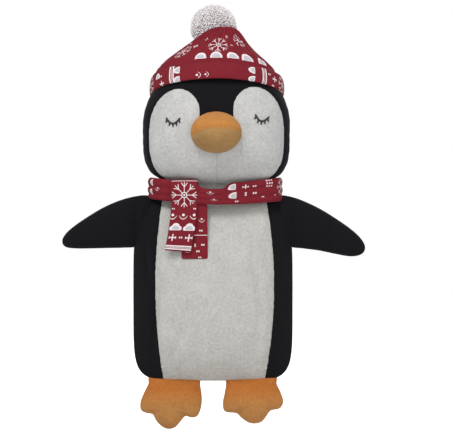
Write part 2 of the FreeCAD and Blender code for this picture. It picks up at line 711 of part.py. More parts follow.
def make_foot(side, sign):
    length = f"sizes.{side}_foot_length"
    form = foot_form(f"foot_form_{side}", sign, length, "0")
    lining = foot_form(f"foot_lining_{side}", sign, length, LINING)
    for part, half in (("top", front_half), ("sole", back_half)):
        outside = common(f"{part}_form_{side}", form, half)
        node(f"foot_{side}_{part}", cut(f"foot_{part}_{side}", outside, lining))
    node(f"foot_{side}_wadding", foot_form(f"foot_filling_{side}", sign, length, FILLING))


# ---------------------------------------------------------------- checks and export


def check_objects():
    """Stops if an object failed to build or a sub-part isn't a sound solid."""
    for obj in doc.Objects:
        if {"Invalid", "Error"} & set(obj.State):
            raise RuntimeError(f"{obj.Name} did not build")
    for obj in nodes:
        if obj.Shape.isNull() or not obj.Shape.isValid() or not obj.Shape.Solids:
            raise RuntimeError(f"{obj.Label} is not a sound solid")


def main():
    head_room = head_form("head_room", "-sizes.fit_gap")
    make_body()
    make_head()
    make_beak(head_room)
    make_hat(head_room)
    make_pompom()
    make_scarf()
    for side, sign in (("left", -1), ("right", 1)):
        make_eye(side, sign)
        make_wing(side, sign)
        make_foot(side, sign)
    doc.recompute()
    check_objects()
    os.makedirs("parts", exist_ok=True)
    for obj in nodes:
        obj.Shape.exportStep(f"parts/{obj.Label}.step")


main()
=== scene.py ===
import json
import math
import random

import bmesh
import bpy
import numpy as np
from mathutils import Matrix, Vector, noise


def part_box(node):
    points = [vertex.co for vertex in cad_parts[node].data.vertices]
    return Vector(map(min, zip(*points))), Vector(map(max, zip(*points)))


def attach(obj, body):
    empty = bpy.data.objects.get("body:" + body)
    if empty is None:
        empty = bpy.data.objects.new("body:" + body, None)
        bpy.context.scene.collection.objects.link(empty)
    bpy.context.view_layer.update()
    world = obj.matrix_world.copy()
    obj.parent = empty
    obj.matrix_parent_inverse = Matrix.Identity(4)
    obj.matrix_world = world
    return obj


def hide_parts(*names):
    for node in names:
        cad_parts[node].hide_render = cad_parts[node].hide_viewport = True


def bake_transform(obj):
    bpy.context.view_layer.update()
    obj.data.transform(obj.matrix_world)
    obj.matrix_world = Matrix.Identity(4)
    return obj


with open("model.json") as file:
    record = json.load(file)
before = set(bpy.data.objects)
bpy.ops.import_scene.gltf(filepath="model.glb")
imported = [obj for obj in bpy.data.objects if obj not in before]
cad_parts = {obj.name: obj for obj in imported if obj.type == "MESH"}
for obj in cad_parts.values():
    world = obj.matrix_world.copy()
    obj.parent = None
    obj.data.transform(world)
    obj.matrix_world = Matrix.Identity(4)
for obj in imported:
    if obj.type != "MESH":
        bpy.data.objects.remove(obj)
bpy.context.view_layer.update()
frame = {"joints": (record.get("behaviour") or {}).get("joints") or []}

bl_info = {
    "name": "Plush penguin",
    "version": (1, 0, 0),
    "blender": (4, 5, 0),
    "location": "3D View > Sidebar > Penguin",
    "description": "Sews the cloth, stuffing, hat and scarf of a plush penguin round its frame",
    "category": "Object",
}

MM = 0.001
SEAM_LAP = 0.5 * MM

# ---------------------------------------------------------------- places, from the frame


def low(node):
    return Vector(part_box(node)[0])


def high(node):
    return Vector(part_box(node)[1])


MIDDLE = low("back_panel").y  # the plane of the side seams
HEM = low("back_panel").z
BODY_TOP = high("back_panel").z
BODY_HALF = high("back_panel").x
BODY_DEPTH = MIDDLE - low("belly_panel").y
HEAD_LEFT, HEAD_RIGHT = low("head_back_left").x, high("head_back_right").x
HEAD_X = (HEAD_LEFT + HEAD_RIGHT) / 2
HEAD_HALF = (HEAD_RIGHT - HEAD_LEFT) / 2
CHIN = low("head_back_left").z
SKULL = high("head_back_left").z
HEAD_LEVEL = CHIN + 62 * MM
HEAD_DEPTH = high("head_back_left").y - MIDDLE
BEAK_LOW, BEAK_HIGH = low("beak_lower"), high("beak_upper")
BEAK_TIP = low("beak_upper").y
BAND_LOW, BAND_HIGH = low("scarf_band"), high("scarf_band")
POMPOM_LOW, POMPOM_HIGH = low("pompom"), high("pompom")
JOINTS = {joint["name"]: joint for joint in frame["joints"]}


def pivot(joint):
    return Vector(JOINTS[joint]["pos_m"])


# ---------------------------------------------------------------- settings


class PenguinColours(bpy.types.PropertyGroup):
    """Colours of the cloths, yarn and thread."""

    def shade(name, description, default):
        return bpy.props.FloatVectorProperty(
            name=name, description=description, default=default, subtype="COLOR", min=0, max=1, size=3
        )

    black: shade("Black", "Near-black plush of back, wings and forehead", (0.0026, 0.0027, 0.0036))
    cream: shade("Belly", "Pale plush of the belly", (0.46, 0.452, 0.422))
    white: shade("Face", "Pale plush of the face", (0.485, 0.483, 0.472))
    foot: shade("Feet", "Tan-orange plush of the feet", (0.42, 0.195, 0.060))
    beak_top: shade("Upper beak", "Orange plush of the beak's upper half", (0.46, 0.195, 0.050))
    beak_under: shade("Lower beak", "Paler plush of the beak's lower half", (0.33, 0.190, 0.070))
    berry: shade("Print ground", "Berry red of hat and scarf", (0.165, 0.0115, 0.0195))
    ink: shade("Print white", "White ink of the print", (0.78, 0.74, 0.75))
    ash: shade("Print grey", "Grey ink of the print", (0.36, 0.36, 0.39))
    yarn: shade("Yarn", "Yarn of the pompom", (0.84, 0.80, 0.805))
    thread: shade("Thread", "Embroidery of the eyes", (0.006, 0.006, 0.007))
    floor: shade("Floor", "Plain floor", (0.86, 0.86, 0.87))


class PenguinSizes(bpy.types.PropertyGroup):
    """Sizes that a maker would change."""

    def length(name, description, default):
        return bpy.props.FloatProperty(
            name=name, description=description, default=default, min=0, unit="LENGTH", subtype="DISTANCE"
        )

    seam_turn: length("Seam turn", "Cloth turned in at a seam", 1.8 * MM)
    pucker: length("Pucker", "Height of the puckers beside a seam", 0.7 * MM)
    wrinkle: length("Wrinkle", "Height of the slack in a stuffed panel", 1.3 * MM)
    jersey: length("Jersey", "Thickness of the printed jersey", 0.9 * MM)
    strand: length("Strand", "Length of a pompom strand", 4.6 * MM)
    strands: bpy.props.IntProperty(name="Strands", description="Strands in the pompom", default=6500, min=10)
    thread: length("Thread", "Thickness of the embroidery thread", 0.55 * MM)
    camera_distance: length("Camera distance", "Camera to the penguin's middle", 2.6)


def sizes():
    return bpy.context.scene.penguin_sizes


def colours():
    return bpy.context.scene.penguin_colours


# ---------------------------------------------------------------- shader building


class Flow:
    """A number in a shader tree, with ordinary arithmetic."""

    def __init__(self, tree, socket):
        self.tree, self.socket = tree, socket

    def op(self, kind, *others, clamp=False):
        node = self.tree.nodes.new("ShaderNodeMath")
        node.operation = kind
        node.use_clamp = clamp
        for slot, value in zip(node.inputs, (self, *others)):
            if isinstance(value, Flow):
                self.tree.links.new(value.socket, slot)
            else:
                slot.default_value = value
        return Flow(self.tree, node.outputs[0])

    def __add__(self, other):
        return self.op("ADD", other)

    def __sub__(self, other):
        return self.op("SUBTRACT", other)

    def __mul__(self, other):
        return self.op("MULTIPLY", other)

    def __truediv__(self, other):
        return self.op("DIVIDE", other)

    def __lt__(self, other):
        return self.op("LESS_THAN", other)

    def __gt__(self, other):
        return self.op("GREATER_THAN", other)

    def __abs__(self):
        return self.op("ABSOLUTE")

    def fract(self):
        return self.op("FRACT")

    def floor(self):
        return self.op("FLOOR")

    def both(self, other):
        return self.op("MULTIPLY", other)

    def either(self, other):
        return self.op("MAXIMUM", other)

    def flip(self):
        return self.op("MULTIPLY_ADD", -1.0, 1.0)


def new_tree(kind, name, inputs, outputs):
    """A node group with named sockets: (name, type, default) in, (name, type) out."""
    tree = bpy.data.node_groups.new(name, kind)
    for label, socket, default in inputs:
        made = tree.interface.new_socket(label, in_out="INPUT", socket_type=socket)
        if default is not None:
            made.default_value = default
    for label, socket in outputs:
        tree.interface.new_socket(label, in_out="OUTPUT", socket_type=socket)
    return tree, tree.nodes.new("NodeGroupInput"), tree.nodes.new("NodeGroupOutput")


def noise_at(tree, vector, scale, detail=2.0, roughness=0.5):
    node = tree.nodes.new("ShaderNodeTexNoise")
    node.inputs["Scale"].default_value = scale
    node.inputs["Detail"].default_value = detail
    node.inputs["Roughness"].default_value = roughness
    tree.links.new(vector, node.inputs["Vector"])
    return Flow(tree, node.outputs["Fac"])


def mix_colour(tree, amount, first, second, blend="MIX"):
    """A colour mix; first, second and amount are sockets, Flows or plain values."""
    node = tree.nodes.new("ShaderNodeMix")
    node.data_type = "RGBA"
    node.blend_type = blend
    for index, value in ((0, amount), (6, first), (7, second)):
        value = value.socket if isinstance(value, Flow) else value
        if isinstance(value, bpy.types.NodeSocket):
            tree.links.new(value, node.inputs[index])
        else:
            node.inputs[index].default_value = value
    return node.outputs[2]


def pile_group():
    """Short plush pile: clumps that lean this way and that, with a shade and a height."""
    name = "Short pile"
    if name in bpy.data.node_groups:
        return bpy.data.node_groups[name]
    tree, given, made = new_tree(
        "ShaderNodeTree",
        name,
        (
            ("Vector", "NodeSocketVector", None),
            ("Colour", "NodeSocketColor", (1, 1, 1, 1)),
            ("Tips", "NodeSocketColor", (1, 1, 1, 1)),
            ("Mottle", "NodeSocketFloat", 0.2),
        ),
        (("Color", "NodeSocketColor"), ("Roughness", "NodeSocketFloat"), ("Height", "NodeSocketFloat")),
    )
    at = given.outputs["Vector"]
    fibres = noise_at(tree, at, 1500, 3, 0.6)
    clumps = noise_at(tree, at, 380, 2)
    nap = noise_at(tree, at, 60, 3)
    broad = noise_at(tree, at, 14, 2)
    lit = (fibres * 0.25 + clumps * 0.5 + nap * 0.25).op("SUBTRACT", 0.5) * 3.0
    amount = (lit * given_flow(tree, given, "Mottle") + 0.5).op("ADD", 0.0, clamp=True)
    shaded = mix_colour(tree, amount, given.outputs["Colour"], given.outputs["Tips"])
    worn = mix_colour(tree, (broad - 0.5) * 0.5, shaded, given.outputs["Tips"])
    tree.links.new(worn, made.inputs["Color"])
    tree.links.new((clumps * 0.12 + 0.84).socket, made.inputs["Roughness"])
    tree.links.new((fibres * 0.55 + clumps * 0.35 + nap * 0.25).socket, made.inputs["Height"])
    return tree


def given_flow(tree, given, name):
    return Flow(tree, given.outputs[name])


def group_in(tree, group, **values):
    node = tree.nodes.new("ShaderNodeGroup")
    node.node_tree = group
    for key, value in values.items():
        slot = node.inputs[key.replace("_", " ")]
        if isinstance(value, bpy.types.NodeSocket):
            tree.links.new(value, slot)
        else:
            slot.default_value = value
    return node


def new_material(name):
    material = bpy.data.materials.new(name)
    material.use_nodes = True
    shader = material.node_tree.nodes["Principled BSDF"]
    return material, material.node_tree, shader


def bump(tree, shader, height, strength, distance):
    node = tree.nodes.new("ShaderNodeBump")
    node.inputs["Strength"].default_value = strength
    node.inputs["Distance"].default_value = distance
    tree.links.new(height, node.inputs["Height"])
    tree.links.new(node.outputs["Normal"], shader.inputs["Normal"])


def plush(name, colour, tips, sheen, sheen_tint, mottle=0.5, relief=0.7, painted_shade_by_height=None):
    """Short-pile plush: matt, with a soft light edge where the pile is seen from the side.

    The optional last argument is painted shade: a tint that comes in between two heights, (colour, from,
    to).
    """
    if name in bpy.data.materials:
        return bpy.data.materials[name]
    material, tree, shader = new_material(name)
    place = tree.nodes.new("ShaderNodeTexCoord").outputs["Object"]
    pile = group_in(
        tree, pile_group(), Vector=place, Colour=(*colour, 1), Tips=(*tips, 1), Mottle=mottle
    )
    shade = pile.outputs["Color"]
    # Painted shade: the colour is multiplied by the tint, fully so above the upper height.
    if painted_shade_by_height:
        tint, start, end = painted_shade_by_height
        split = tree.nodes.new("ShaderNodeSeparateXYZ")
        tree.links.new(place, split.inputs[0])
        rise = ((Flow(tree, split.outputs[2]) - start) * (1 / (end - start))).op("ADD", 0.0, clamp=True)
        shade = mix_colour(tree, rise, shade, (*tint, 1), "MULTIPLY")
    tree.links.new(shade, shader.inputs["Base Color"])
    tree.links.new(pile.outputs["Roughness"], shader.inputs["Roughness"])
    shader.inputs["Sheen Weight"].default_value = sheen
    shader.inputs["Sheen Roughness"].default_value = 0.45
    shader.inputs["Sheen Tint"].default_value = (*sheen_tint, 1)
    shader.inputs["Specular IOR Level"].default_value = 0.15
    bump(tree, shader, pile.outputs["Height"], relief, 0.9 * MM)
    return material


def lighter(colour, factor):
    return tuple(min(1.0, c * factor) for c in colour)


def black_plush():
    black = tuple(colours().black)
    return plush("black plush", black, lighter(black, 2.0), 0.05, (0.62, 0.64, 0.70), 0.6, 0.8)


def pale_plush(name, colour):
    return plush(name, lighter(colour, 0.72), lighter(colour, 1.16), 0.12, (1, 0.98, 0.95), 0.8, 0.6)


def tan_plush(name, colour, painted_shade_by_height=None):
    dark, light = lighter(colour, 0.74), lighter(colour, 1.2)
    return plush(name, dark, light, 0.10, (1, 0.85, 0.65), 0.7, 0.6, painted_shade_by_height)


# ---------------------------------------------------------------- the winter print

def quarter_turned(x, y, turned):
    return (y, x * -1.0) if turned else (x, y)


def motif_flake(x, y, size):
    """An eight-armed snowflake with forked ends and a ringed middle."""
    radius = (x * x + y * y).op("SQRT")
    turn = y.op("ARCTAN2", x)
    eighth = math.pi / 4
    away = abs((turn / eighth + 0.5).fract() - 0.5) * eighth
    along, across = radius * away.op("COSINE"), radius * away.op("SINE")
    arm = (across < 0.026 * size).both(along < size).both(radius > 0.22 * size)
    barb = (abs(across - (along - 0.62 * size) * 0.75) < 0.034 * size).both(along < 0.93 * size)
    hub = (abs(radius - 0.2 * size) < 0.035 * size).either(radius < 0.08 * size)
    return arm.either(barb.both(along > 0.62 * size)).either(hub), None


def motif_cloud(x, y, size):
    """A snow-topped bush: three domes on a flat foot, with a grey heart."""
    middle = ((x * x + (y - 0.1 * size) * (y - 0.1 * size)).op("SQRT") / size) < 0.62
    sides = (
        (abs(x) - 0.55 * size) * (abs(x) - 0.55 * size) + (y + 0.15 * size) * (y + 0.15 * size)
    ).op("SQRT")
    outline = middle.either(sides < 0.42 * size).both(y > -0.45 * size)
    heart = (x * x * 0.55 + (y + 0.12 * size) * (y + 0.12 * size)).op("SQRT") < 0.42 * size
    return outline, heart.both(y > -0.34 * size)


def motif_dome(x, y, size):
    """A pointed dome with a white rim and a grey heart."""
    lean = (x * x + (y + 0.45 * size) * (y + 0.45 * size) * 0.42).op("SQRT")
    outline = (lean < 0.72 * size).both(y > -0.6 * size)
    heart = (lean < 0.5 * size).both(y > -0.5 * size)
    return outline, heart


def motif_cross(x, y, size):
    """A cross with short feet on its arms."""
    thin, long = 0.16 * size, size
    post = (abs(x) < thin).both(abs(y) < long)
    bar = (abs(y) < thin).both(abs(x) < long)
    feet = (abs(abs(x) - 0.9 * size) < 0.1 * size).both(abs(y) < 0.36 * size)
    return post.either(bar).either(feet), None


def motif_pair(x, y, size):
    """Two small squares side by side."""
    return (abs(abs(x) - 0.6 * size) < 0.4 * size).both(abs(y) < 0.5 * size), None


def motif_nine(x, y, size):
    """Squares in three rows of three."""
    cell_x, cell_y = (x / size + 0.5).fract() - 0.5, (y / size + 0.5).fract() - 0.5
    squares = (abs(cell_x) < 0.27).both(abs(cell_y) < 0.27)
    return squares.both(abs(x) < 1.45 * size).both(abs(y) < 1.45 * size), None


def motif_bell(x, y, size):
    """A dot over a small swag."""
    dot = (x * x + (y - 0.5 * size) * (y - 0.5 * size)).op("SQRT") < 0.36 * size
    swag = abs(y + 0.6 * size - x * x * (0.7 / size)) < 0.11 * size
    return dot.either(swag.both(abs(x) < 1.1 * size)), None


MOTIFS = {
    "flake": motif_flake,
    "cloud": motif_cloud,
    "dome": motif_dome,
    "cross": motif_cross,
    "pair": motif_pair,
    "nine": motif_nine,
    "bell": motif_bell,
}

# Where each piece was cut from the print: motif, place along and up the piece and size in
# millimetres, and 1 where the motif lies on its side. The list repeats after the given length.
PRINTS = {
    "front end": (
        200.0,
        (
            ("stripe", 0, 2.6, 0.75, 0), ("stripe", 0, 6.0, 0.75, 0), ("stripe", 0, 4.3, 0.3, 0),
            ("cross", -8.5, 15.6, 3.9, 0), ("pair", 0.4, 15.6, 1.8, 0), ("cross", 9.3, 15.2, 3.9, 0),
            ("cloud", -6.8, 26.6, 6.8, 0), ("cloud", 8.0, 26.2, 6.8, 0), ("bell", -11.5, 38.2, 4.0, 0),
            ("bell", 0, 38.2, 4.0, 0), ("bell", 11.5, 38.2, 4.0, 0), ("flake", 0, 62.6, 14.0, 0),
            ("pair", -11.5, 47.0, 1.4, 0), ("pair", 11.5, 47.0, 1.4, 0), ("stripe", 0, 78.0, 0.4, 0),
        ),
    ),
    "rear end": (
        200.0,
        (
            ("pair", 5.5, 1.8, 1.6, 0), ("pair", 3.6, 8.5, 1.8, 0), ("pair", 9.0, 15.5, 1.8, 0),
            ("pair", 0.5, 15.0, 1.6, 1), ("pair", -8.0, 8.0, 1.8, 0), ("stripe", 0, 26.0, 0.35, 0),
            ("pair", 7.0, 31.0, 1.7, 0), ("cross", -7.0, 34.0, 3.0, 0), ("bell", 8.0, 42.0, 3.0, 0),
            ("pair", -8.0, 20.0, 1.6, 0),
        ),
    ),
    "band": (
        169.0,
        (
            ("dome", 14.5, 20.0, 5.4, 1), ("dome", 14.0, 31.5, 5.4, 1), ("cross", 26.0, 30.0, 3.0, 0),
            ("pair", 34.5, 30.0, 1.8, 0), ("pair", 26.0, 20.5, 1.8, 1), ("pair", 34.5, 20.5, 1.8, 0),
            ("nine", 52.0, 32.0, 3.4, 0), ("flake", 76.0, 26.0, 10.5, 0), ("pair", 44.0, 15.5, 1.4, 0),
            ("bell", -4.0, 30.5, 2.8, 0), ("bell", -1.0, 17.0, 2.8, 0), ("pair", 62.0, 17.0, 1.4, 0),
            ("dome", -68.5, 31.5, 5.2, 1), ("dome", -69.5, 19.5, 5.2, 1), ("bell", -57.0, 24.0, 2.8, 0),
            ("pair", 18.0, 12.0, 1.4, 0),
        ),
    ),
    "cuff": (
        200.0,
        (
            ("stripe", 0, 52.6, 0.75, 1), ("stripe", 0, 48.4, 0.75, 1), ("stripe", 0, 50.5, 0.3, 1),
            ("stripe", 0, -44.0, 0.75, 1), ("stripe", 0, -48.2, 0.75, 1), ("stripe", 0, -46.1, 0.3, 1),
            ("dome", -40.0, 19.5, 5.8, 1), ("dome", -40.0, 31.0, 5.8, 1), ("dome", 35.0, 19.5, 5.8, 1),
            ("dome", 35.0, 31.0, 5.8, 1), ("bell", -17.0, 22.0, 3.2, 1), ("bell", -9.0, 22.0, 2.6, 1),
            ("pair", 57.5, 31.0, 1.8, 0), ("cross", 66.0, 27.0, 3.4, 0), ("pair", 64.0, 19.0, 1.8, 0),
            ("cross", -60.0, 20.0, 3.2, 0), ("dome", -66.0, 30.0, 5.0, 0), ("pair", -61.0, 28.5, 1.7, 0),
            ("flake", 84.0, 26.0, 11.0, 0), ("flake", -86.0, 26.0, 11.0, 0),
        ),
    ),
    "crown": (
        190.0,
        (
            ("dome", -15.0, 25.5, 8.2, 0), ("dome", 1.0, 26.5, 8.6, 0), ("dome", 18.0, 26.5, 8.6, 0),
            ("dome", 34.0, 25.5, 9.4, 0), ("dome", 54.0, 25.0, 8.4, 0), ("flake", 3.0, 46.0, 14.0, 0),
            ("flake", -43.0, 38.0, 10.5, 0), ("cross", -30.0, 46.0, 3.4, 0), ("flake", 40.0, 57.0, 11.0, 0),
            ("pair", 22.0, 46.0, 1.6, 0), ("bell", -22.0, 58.0, 3.2, 0), ("pair", -50.0, 54.0, 1.6, 0),
            ("dome", -76.0, 28.0, 8.0, 0), ("flake", 80.0, 46.0, 12.0, 0), ("bell", 16.0, 62.0, 3.0, 0),
        ),
    ),
}


def print_group(piece):
    """One piece's winter motifs on a plain ground. The vector is in metres along and up the piece."""
    period, motifs = PRINTS[piece]
    tree, given, made = new_tree(
        "ShaderNodeTree",
        f"Winter print, {piece}",
        (
            ("Vector", "NodeSocketVector", None),
            ("Ground", "NodeSocketColor", (1, 0, 0, 1)),
            ("White", "NodeSocketColor", (1, 1, 1, 1)),
            ("Grey", "NodeSocketColor", (0.5, 0.5, 0.5, 1)),
        ),
        (("Color", "NodeSocketColor"), ("Ink", "NodeSocketFloat")),
    )
    split = tree.nodes.new("ShaderNodeSeparateXYZ")
    tree.links.new(given.outputs["Vector"], split.inputs[0])
    along = ((Flow(tree, split.outputs[0]) * (1000.0 / period) + 0.5).fract() - 0.5) * period
    up = Flow(tree, split.outputs[1]) * 1000.0
    ink = grey = None
    for kind, x, y, size, turned in motifs:
        if kind == "stripe":
            white, shade = abs((along if turned else up) - y) < size, None
        else:
            white, shade = MOTIFS[kind](*quarter_turned(along - x, up - y, turned), size)
        ink = ink.either(white) if ink else white
        if shade:
            grey = grey.either(shade) if grey else shade
    # The ink sits on the ribs and leaves the gaps between them a little bare.
    worn = noise_at(tree, given.outputs["Vector"], 700, 2)
    ink = ink * (worn * 0.45 + 0.62).op("MINIMUM", 1.0)
    coloured = mix_colour(tree, ink, given.outputs["Ground"], given.outputs["White"])
    if grey:
        coloured = mix_colour(tree, grey * 0.75, coloured, given.outputs["Grey"])
    tree.links.new(coloured, made.inputs["Color"])
    tree.links.new(ink.socket, made.inputs["Ink"])
    return tree


def jersey_group():
    """Fine knitted ribs: a shade and a height, from metres along and up the cloth."""
    name = "Jersey knit"
    if name in bpy.data.node_groups:
        return bpy.data.node_groups[name]
    tree, given, made = new_tree(
        "ShaderNodeTree",
        name,
        (("Vector", "NodeSocketVector", None), ("Gauge", "NodeSocketFloat", 1100.0)),
        (("Shade", "NodeSocketFloat"), ("Height", "NodeSocketFloat")),
    )
    split = tree.nodes.new("ShaderNodeSeparateXYZ")
    tree.links.new(given.outputs["Vector"], split.inputs[0])
    gauge = given_flow(tree, given, "Gauge")
    wale = Flow(tree, split.outputs[0]) * gauge
    course = Flow(tree, split.outputs[1]) * gauge
    leg = abs(wale.fract() - 0.5) * 2.0
    loop = abs((course + leg * 0.6).fract() - 0.5) * 2.0
    soft = noise_at(tree, given.outputs["Vector"], 90, 3)
    height = leg.flip() * 0.5 + loop * 0.35 + soft * 0.4
    tree.links.new((soft * 0.5 + loop * 0.2 + 0.4).socket, made.inputs["Shade"])
    tree.links.new(height.socket, made.inputs["Height"])
    return tree


def printed_jersey(piece):
    """Printed jersey. The piece's UV map is in metres."""
    name = f"printed jersey, {piece}"
    if name in bpy.data.materials:
        return bpy.data.materials[name]
    material, tree, shader = new_material(name)
    uv = tree.nodes.new("ShaderNodeUVMap")
    uv.uv_map = "cloth"
    paint = group_in(
        tree,
        print_group(piece),
        Vector=uv.outputs[0],
        Ground=(*colours().berry, 1),
        White=(*colours().ink, 1),
        Grey=(*colours().ash, 1),
    )
    knit = group_in(tree, jersey_group(), Vector=uv.outputs[0])
    shaded = mix_colour(tree, 1.0, paint.outputs["Color"], knit_grey(tree, knit), "MULTIPLY")
    tree.links.new(shaded, shader.inputs["Base Color"])
    shader.inputs["Roughness"].default_value = 0.82
    shader.inputs["Sheen Weight"].default_value = 0.03
    shader.inputs["Sheen Roughness"].default_value = 0.5
    shader.inputs["Specular IOR Level"].default_value = 0.12
    bump(tree, shader, knit.outputs["Height"], 0.35, 0.35 * MM)
    return material


def knit_grey(tree, knit):
    """The knit's shade as a grey that multiplies the print."""
    spread = Flow(tree, knit.outputs["Shade"]).op("MULTIPLY_ADD", 0.55, 0.62)
    made = tree.nodes.new("ShaderNodeCombineColor")
    for index in range(3):
        tree.links.new(spread.socket, made.inputs[index])
    return made.outputs[0]


def yarn_material(name, colour):
    """Soft yarn: pale, fuzzy and a little uneven."""
    if name in bpy.data.materials:
        return bpy.data.materials[name]
    material, tree, shader = new_material(name)
    place = tree.nodes.new("ShaderNodeTexCoord").outputs["Object"]
    patches = noise_at(tree, place, 140, 3)
    base = mix_colour(tree, patches, (*lighter(colour, 0.82), 1), (*lighter(colour, 1.16), 1))
    tree.links.new(base, shader.inputs["Base Color"])
    shader.inputs["Roughness"].default_value = 0.9
    shader.inputs["Sheen Weight"].default_value = 0.35
    shader.inputs["Subsurface Weight"].default_value = 0.15
    shader.inputs["Subsurface Radius"].default_value = (0.004, 0.004, 0.004)
    bump(tree, shader, noise_at(tree, place, 900, 3).socket, 0.5, 0.5 * MM)
    return material


def thread_material(name, colour):
    """Twisted embroidery thread with a slight gloss."""
    if name in bpy.data.materials:
        return bpy.data.materials[name]
    material, tree, shader = new_material(name)
    place = tree.nodes.new("ShaderNodeTexCoord").outputs["Object"]
    ply = noise_at(tree, place, 2600, 2)
    base = mix_colour(tree, ply, (*lighter(colour, 0.7), 1), (*lighter(colour, 1.9), 1))
    tree.links.new(base, shader.inputs["Base Color"])
    shader.inputs["Roughness"].default_value = 0.5
    bump(tree, shader, ply.socket, 0.4, 0.2 * MM)
    return material


# ---------------------------------------------------------------- mesh building


def new_object(name, mesh):
    """Links an object that sits at the origin."""
    obj = bpy.data.objects.new(name, mesh)
    bpy.context.scene.collection.objects.link(obj)
    return obj


def smooth(mesh):
    mesh.polygons.foreach_set("use_smooth", [True] * len(mesh.polygons))


def subdivide(obj, levels=1):
    modifier = obj.modifiers.new("Subdivision", "SUBSURF")
    modifier.levels = modifier.render_levels = levels
    return modifier


def finish_piece(obj, material, body, nodes=()):
    """Gives a piece its material and smooth shading, hides the CAD nodes it stands for, and parents it to
    the body it rides on when that is one name; otherwise it bakes the piece's place.
    """
    obj.data.materials.clear()
    obj.data.materials.append(material)
    smooth(obj.data)
    if nodes:
        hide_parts(*nodes)
    if isinstance(body, str):
        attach(obj, body)
    else:
        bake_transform(obj)
    return obj


def ripple(point, scale, seed):
    """Smooth noise from -1 to 1, of this many ripples a metre."""
    return noise.noise(Vector(point) * scale + Vector((seed * 7.31, seed * 3.77, seed * 5.13)))


def disc_grid(count):
    """A square grid bent onto a disc: x, z in the unit disc, crowded towards its rim."""
    line = np.linspace(-1, 1, count)
    a, b = np.meshgrid(line, line, indexing="ij")
    x, z = a * np.sqrt(1 - b * b / 2), b * np.sqrt(1 - a * a / 2)
    radius = np.sqrt(x * x + z * z)
    crowded = np.sin(np.clip(radius, 0, 1) * math.pi / 2)
    factor = np.where(radius > 1e-9, crowded / np.maximum(radius, 1e-9), math.pi / 2)
    return x * factor, z * factor


def two_sheets(count, place):
    """Two sheets sewn together round their rim, as a closed bmesh.

    place(x, z, side) turns a point of the unit disc into a point of the sheet, side -1 in front.
    """
    disc_x, disc_z = disc_grid(count)
    mesh = bmesh.new()
    rows = {}
    for side in (-1, 1):
        for i in range(count):
            for j in range(count):
                rim = i in (0, count - 1) or j in (0, count - 1)
                if rim and side == 1:
                    rows[side, i, j] = rows[-1, i, j]
                else:
                    rows[side, i, j] = mesh.verts.new(place(disc_x[i, j], disc_z[i, j], side))
    for side in (-1, 1):
        for i in range(count - 1):
            for j in range(count - 1):
                corners = [
                    rows[side, i, j], rows[side, i + 1, j], rows[side, i + 1, j + 1], rows[side, i, j + 1]
                ]
                mesh.faces.new(corners if side == -1 else corners[::-1])
    mesh.normal_update()
    return mesh


def cut_along(mesh, field):
    """Splits faces where the field changes sign, so that a panel's edge can run there."""
    value = {vert: field(vert.co) for vert in mesh.verts}
    on_line = set()
    for vert, amount in value.items():
        if abs(amount) < 1e-6:
            on_line.add(vert)
    for edge in list(mesh.edges):
        first, second = edge.verts
        if first in on_line or second in on_line or value[first] * value[second] > 0:
            continue
        share = value[first] / (value[first] - value[second])
        _, made = bmesh.utils.edge_split(edge, first, min(max(share, 0.02), 0.98))
        value[made] = 0.0
        on_line.add(made)
    for face in list(mesh.faces):
        ends = [vert for vert in face.verts if vert in on_line]
        if len(ends) == 2 and not mesh.edges.get(ends):
            bmesh.utils.face_split(face, *ends)


def take_panel(mesh, name, wanted, turn_in):
    """Copies the faces whose middle is wanted into a panel, with its edges turned in."""
    copy = mesh.copy()
    copy.normal_update()
    dropped = [face for face in copy.faces if not wanted(face.calc_center_median())]
    bmesh.ops.delete(copy, geom=dropped, context="FACES")
    rim = [edge for edge in copy.edges if edge.is_boundary]
    if rim and turn_in:
        spread_rim(rim)
        inward = {}
        for edge in rim:
            for vert in edge.verts:
                inward[vert.co.copy().freeze()] = vert.normal.copy()
        made = bmesh.ops.extrude_edge_only(copy, edges=rim)
        for item in made["geom"]:
            if isinstance(item, bmesh.types.BMVert):
                item.co -= inward[item.co.copy().freeze()] * turn_in
    copy.normal_update()
    data = bpy.data.meshes.new(name)
    copy.to_mesh(data)
    copy.free()
    return new_object(name, data)


def spread_rim(rim):
    """Lets a panel reach a hair over its seam line, so that no light shows between two panels."""
    ends = {vert for edge in rim for vert in edge.verts}
    moves = {}
    for vert in ends:
        beside = [edge.other_vert(vert) for edge in vert.link_edges]
        inside = [other.co for other in beside if other not in ends]
        if inside:
            away = vert.co - sum(inside, Vector()) / len(inside)
            away -= vert.normal * away.dot(vert.normal)
            if away.length > 1e-7:
                moves[vert] = away.normalized() * SEAM_LAP
    for vert, move in moves.items():
        vert.co += move


def rounded(share, exponent):
    return max(0.0, 1 - abs(share) ** exponent) ** (1 / exponent)


def grid_object(name, points, uv, closed=False):
    """A cloth of rows and columns of points, with its flat place in metres as its UV map."""
    rows, columns = len(points), len(points[0])
    mesh = bmesh.new()
    verts = [[mesh.verts.new(point) for point in row] for row in points]
    layer = mesh.loops.layers.uv.new("cloth")
    for i in range(rows - 1):
        for j in range(columns if closed else columns - 1):
            right = (j + 1) % columns
            face = mesh.faces.new((verts[i][j], verts[i][right], verts[i + 1][right], verts[i + 1][j]))
            for loop, (a, b) in zip(face.loops, ((i, j), (i, j + 1), (i + 1, j + 1), (i + 1, j))):
                loop[layer].uv = uv(a, b)
    mesh.normal_update()
    data = bpy.data.meshes.new(name)
    mesh.to_mesh(data)
    mesh.free()
    return new_object(name, data)


def thicken(obj, thickness, offset=0.0):
    """Gives a cloth its thickness for good, so that its edges are closed."""
    modifier = obj.modifiers.new("Thickness", "SOLIDIFY")
    modifier.thickness = thickness
    modifier.offset = offset
    apply_modifiers(obj)


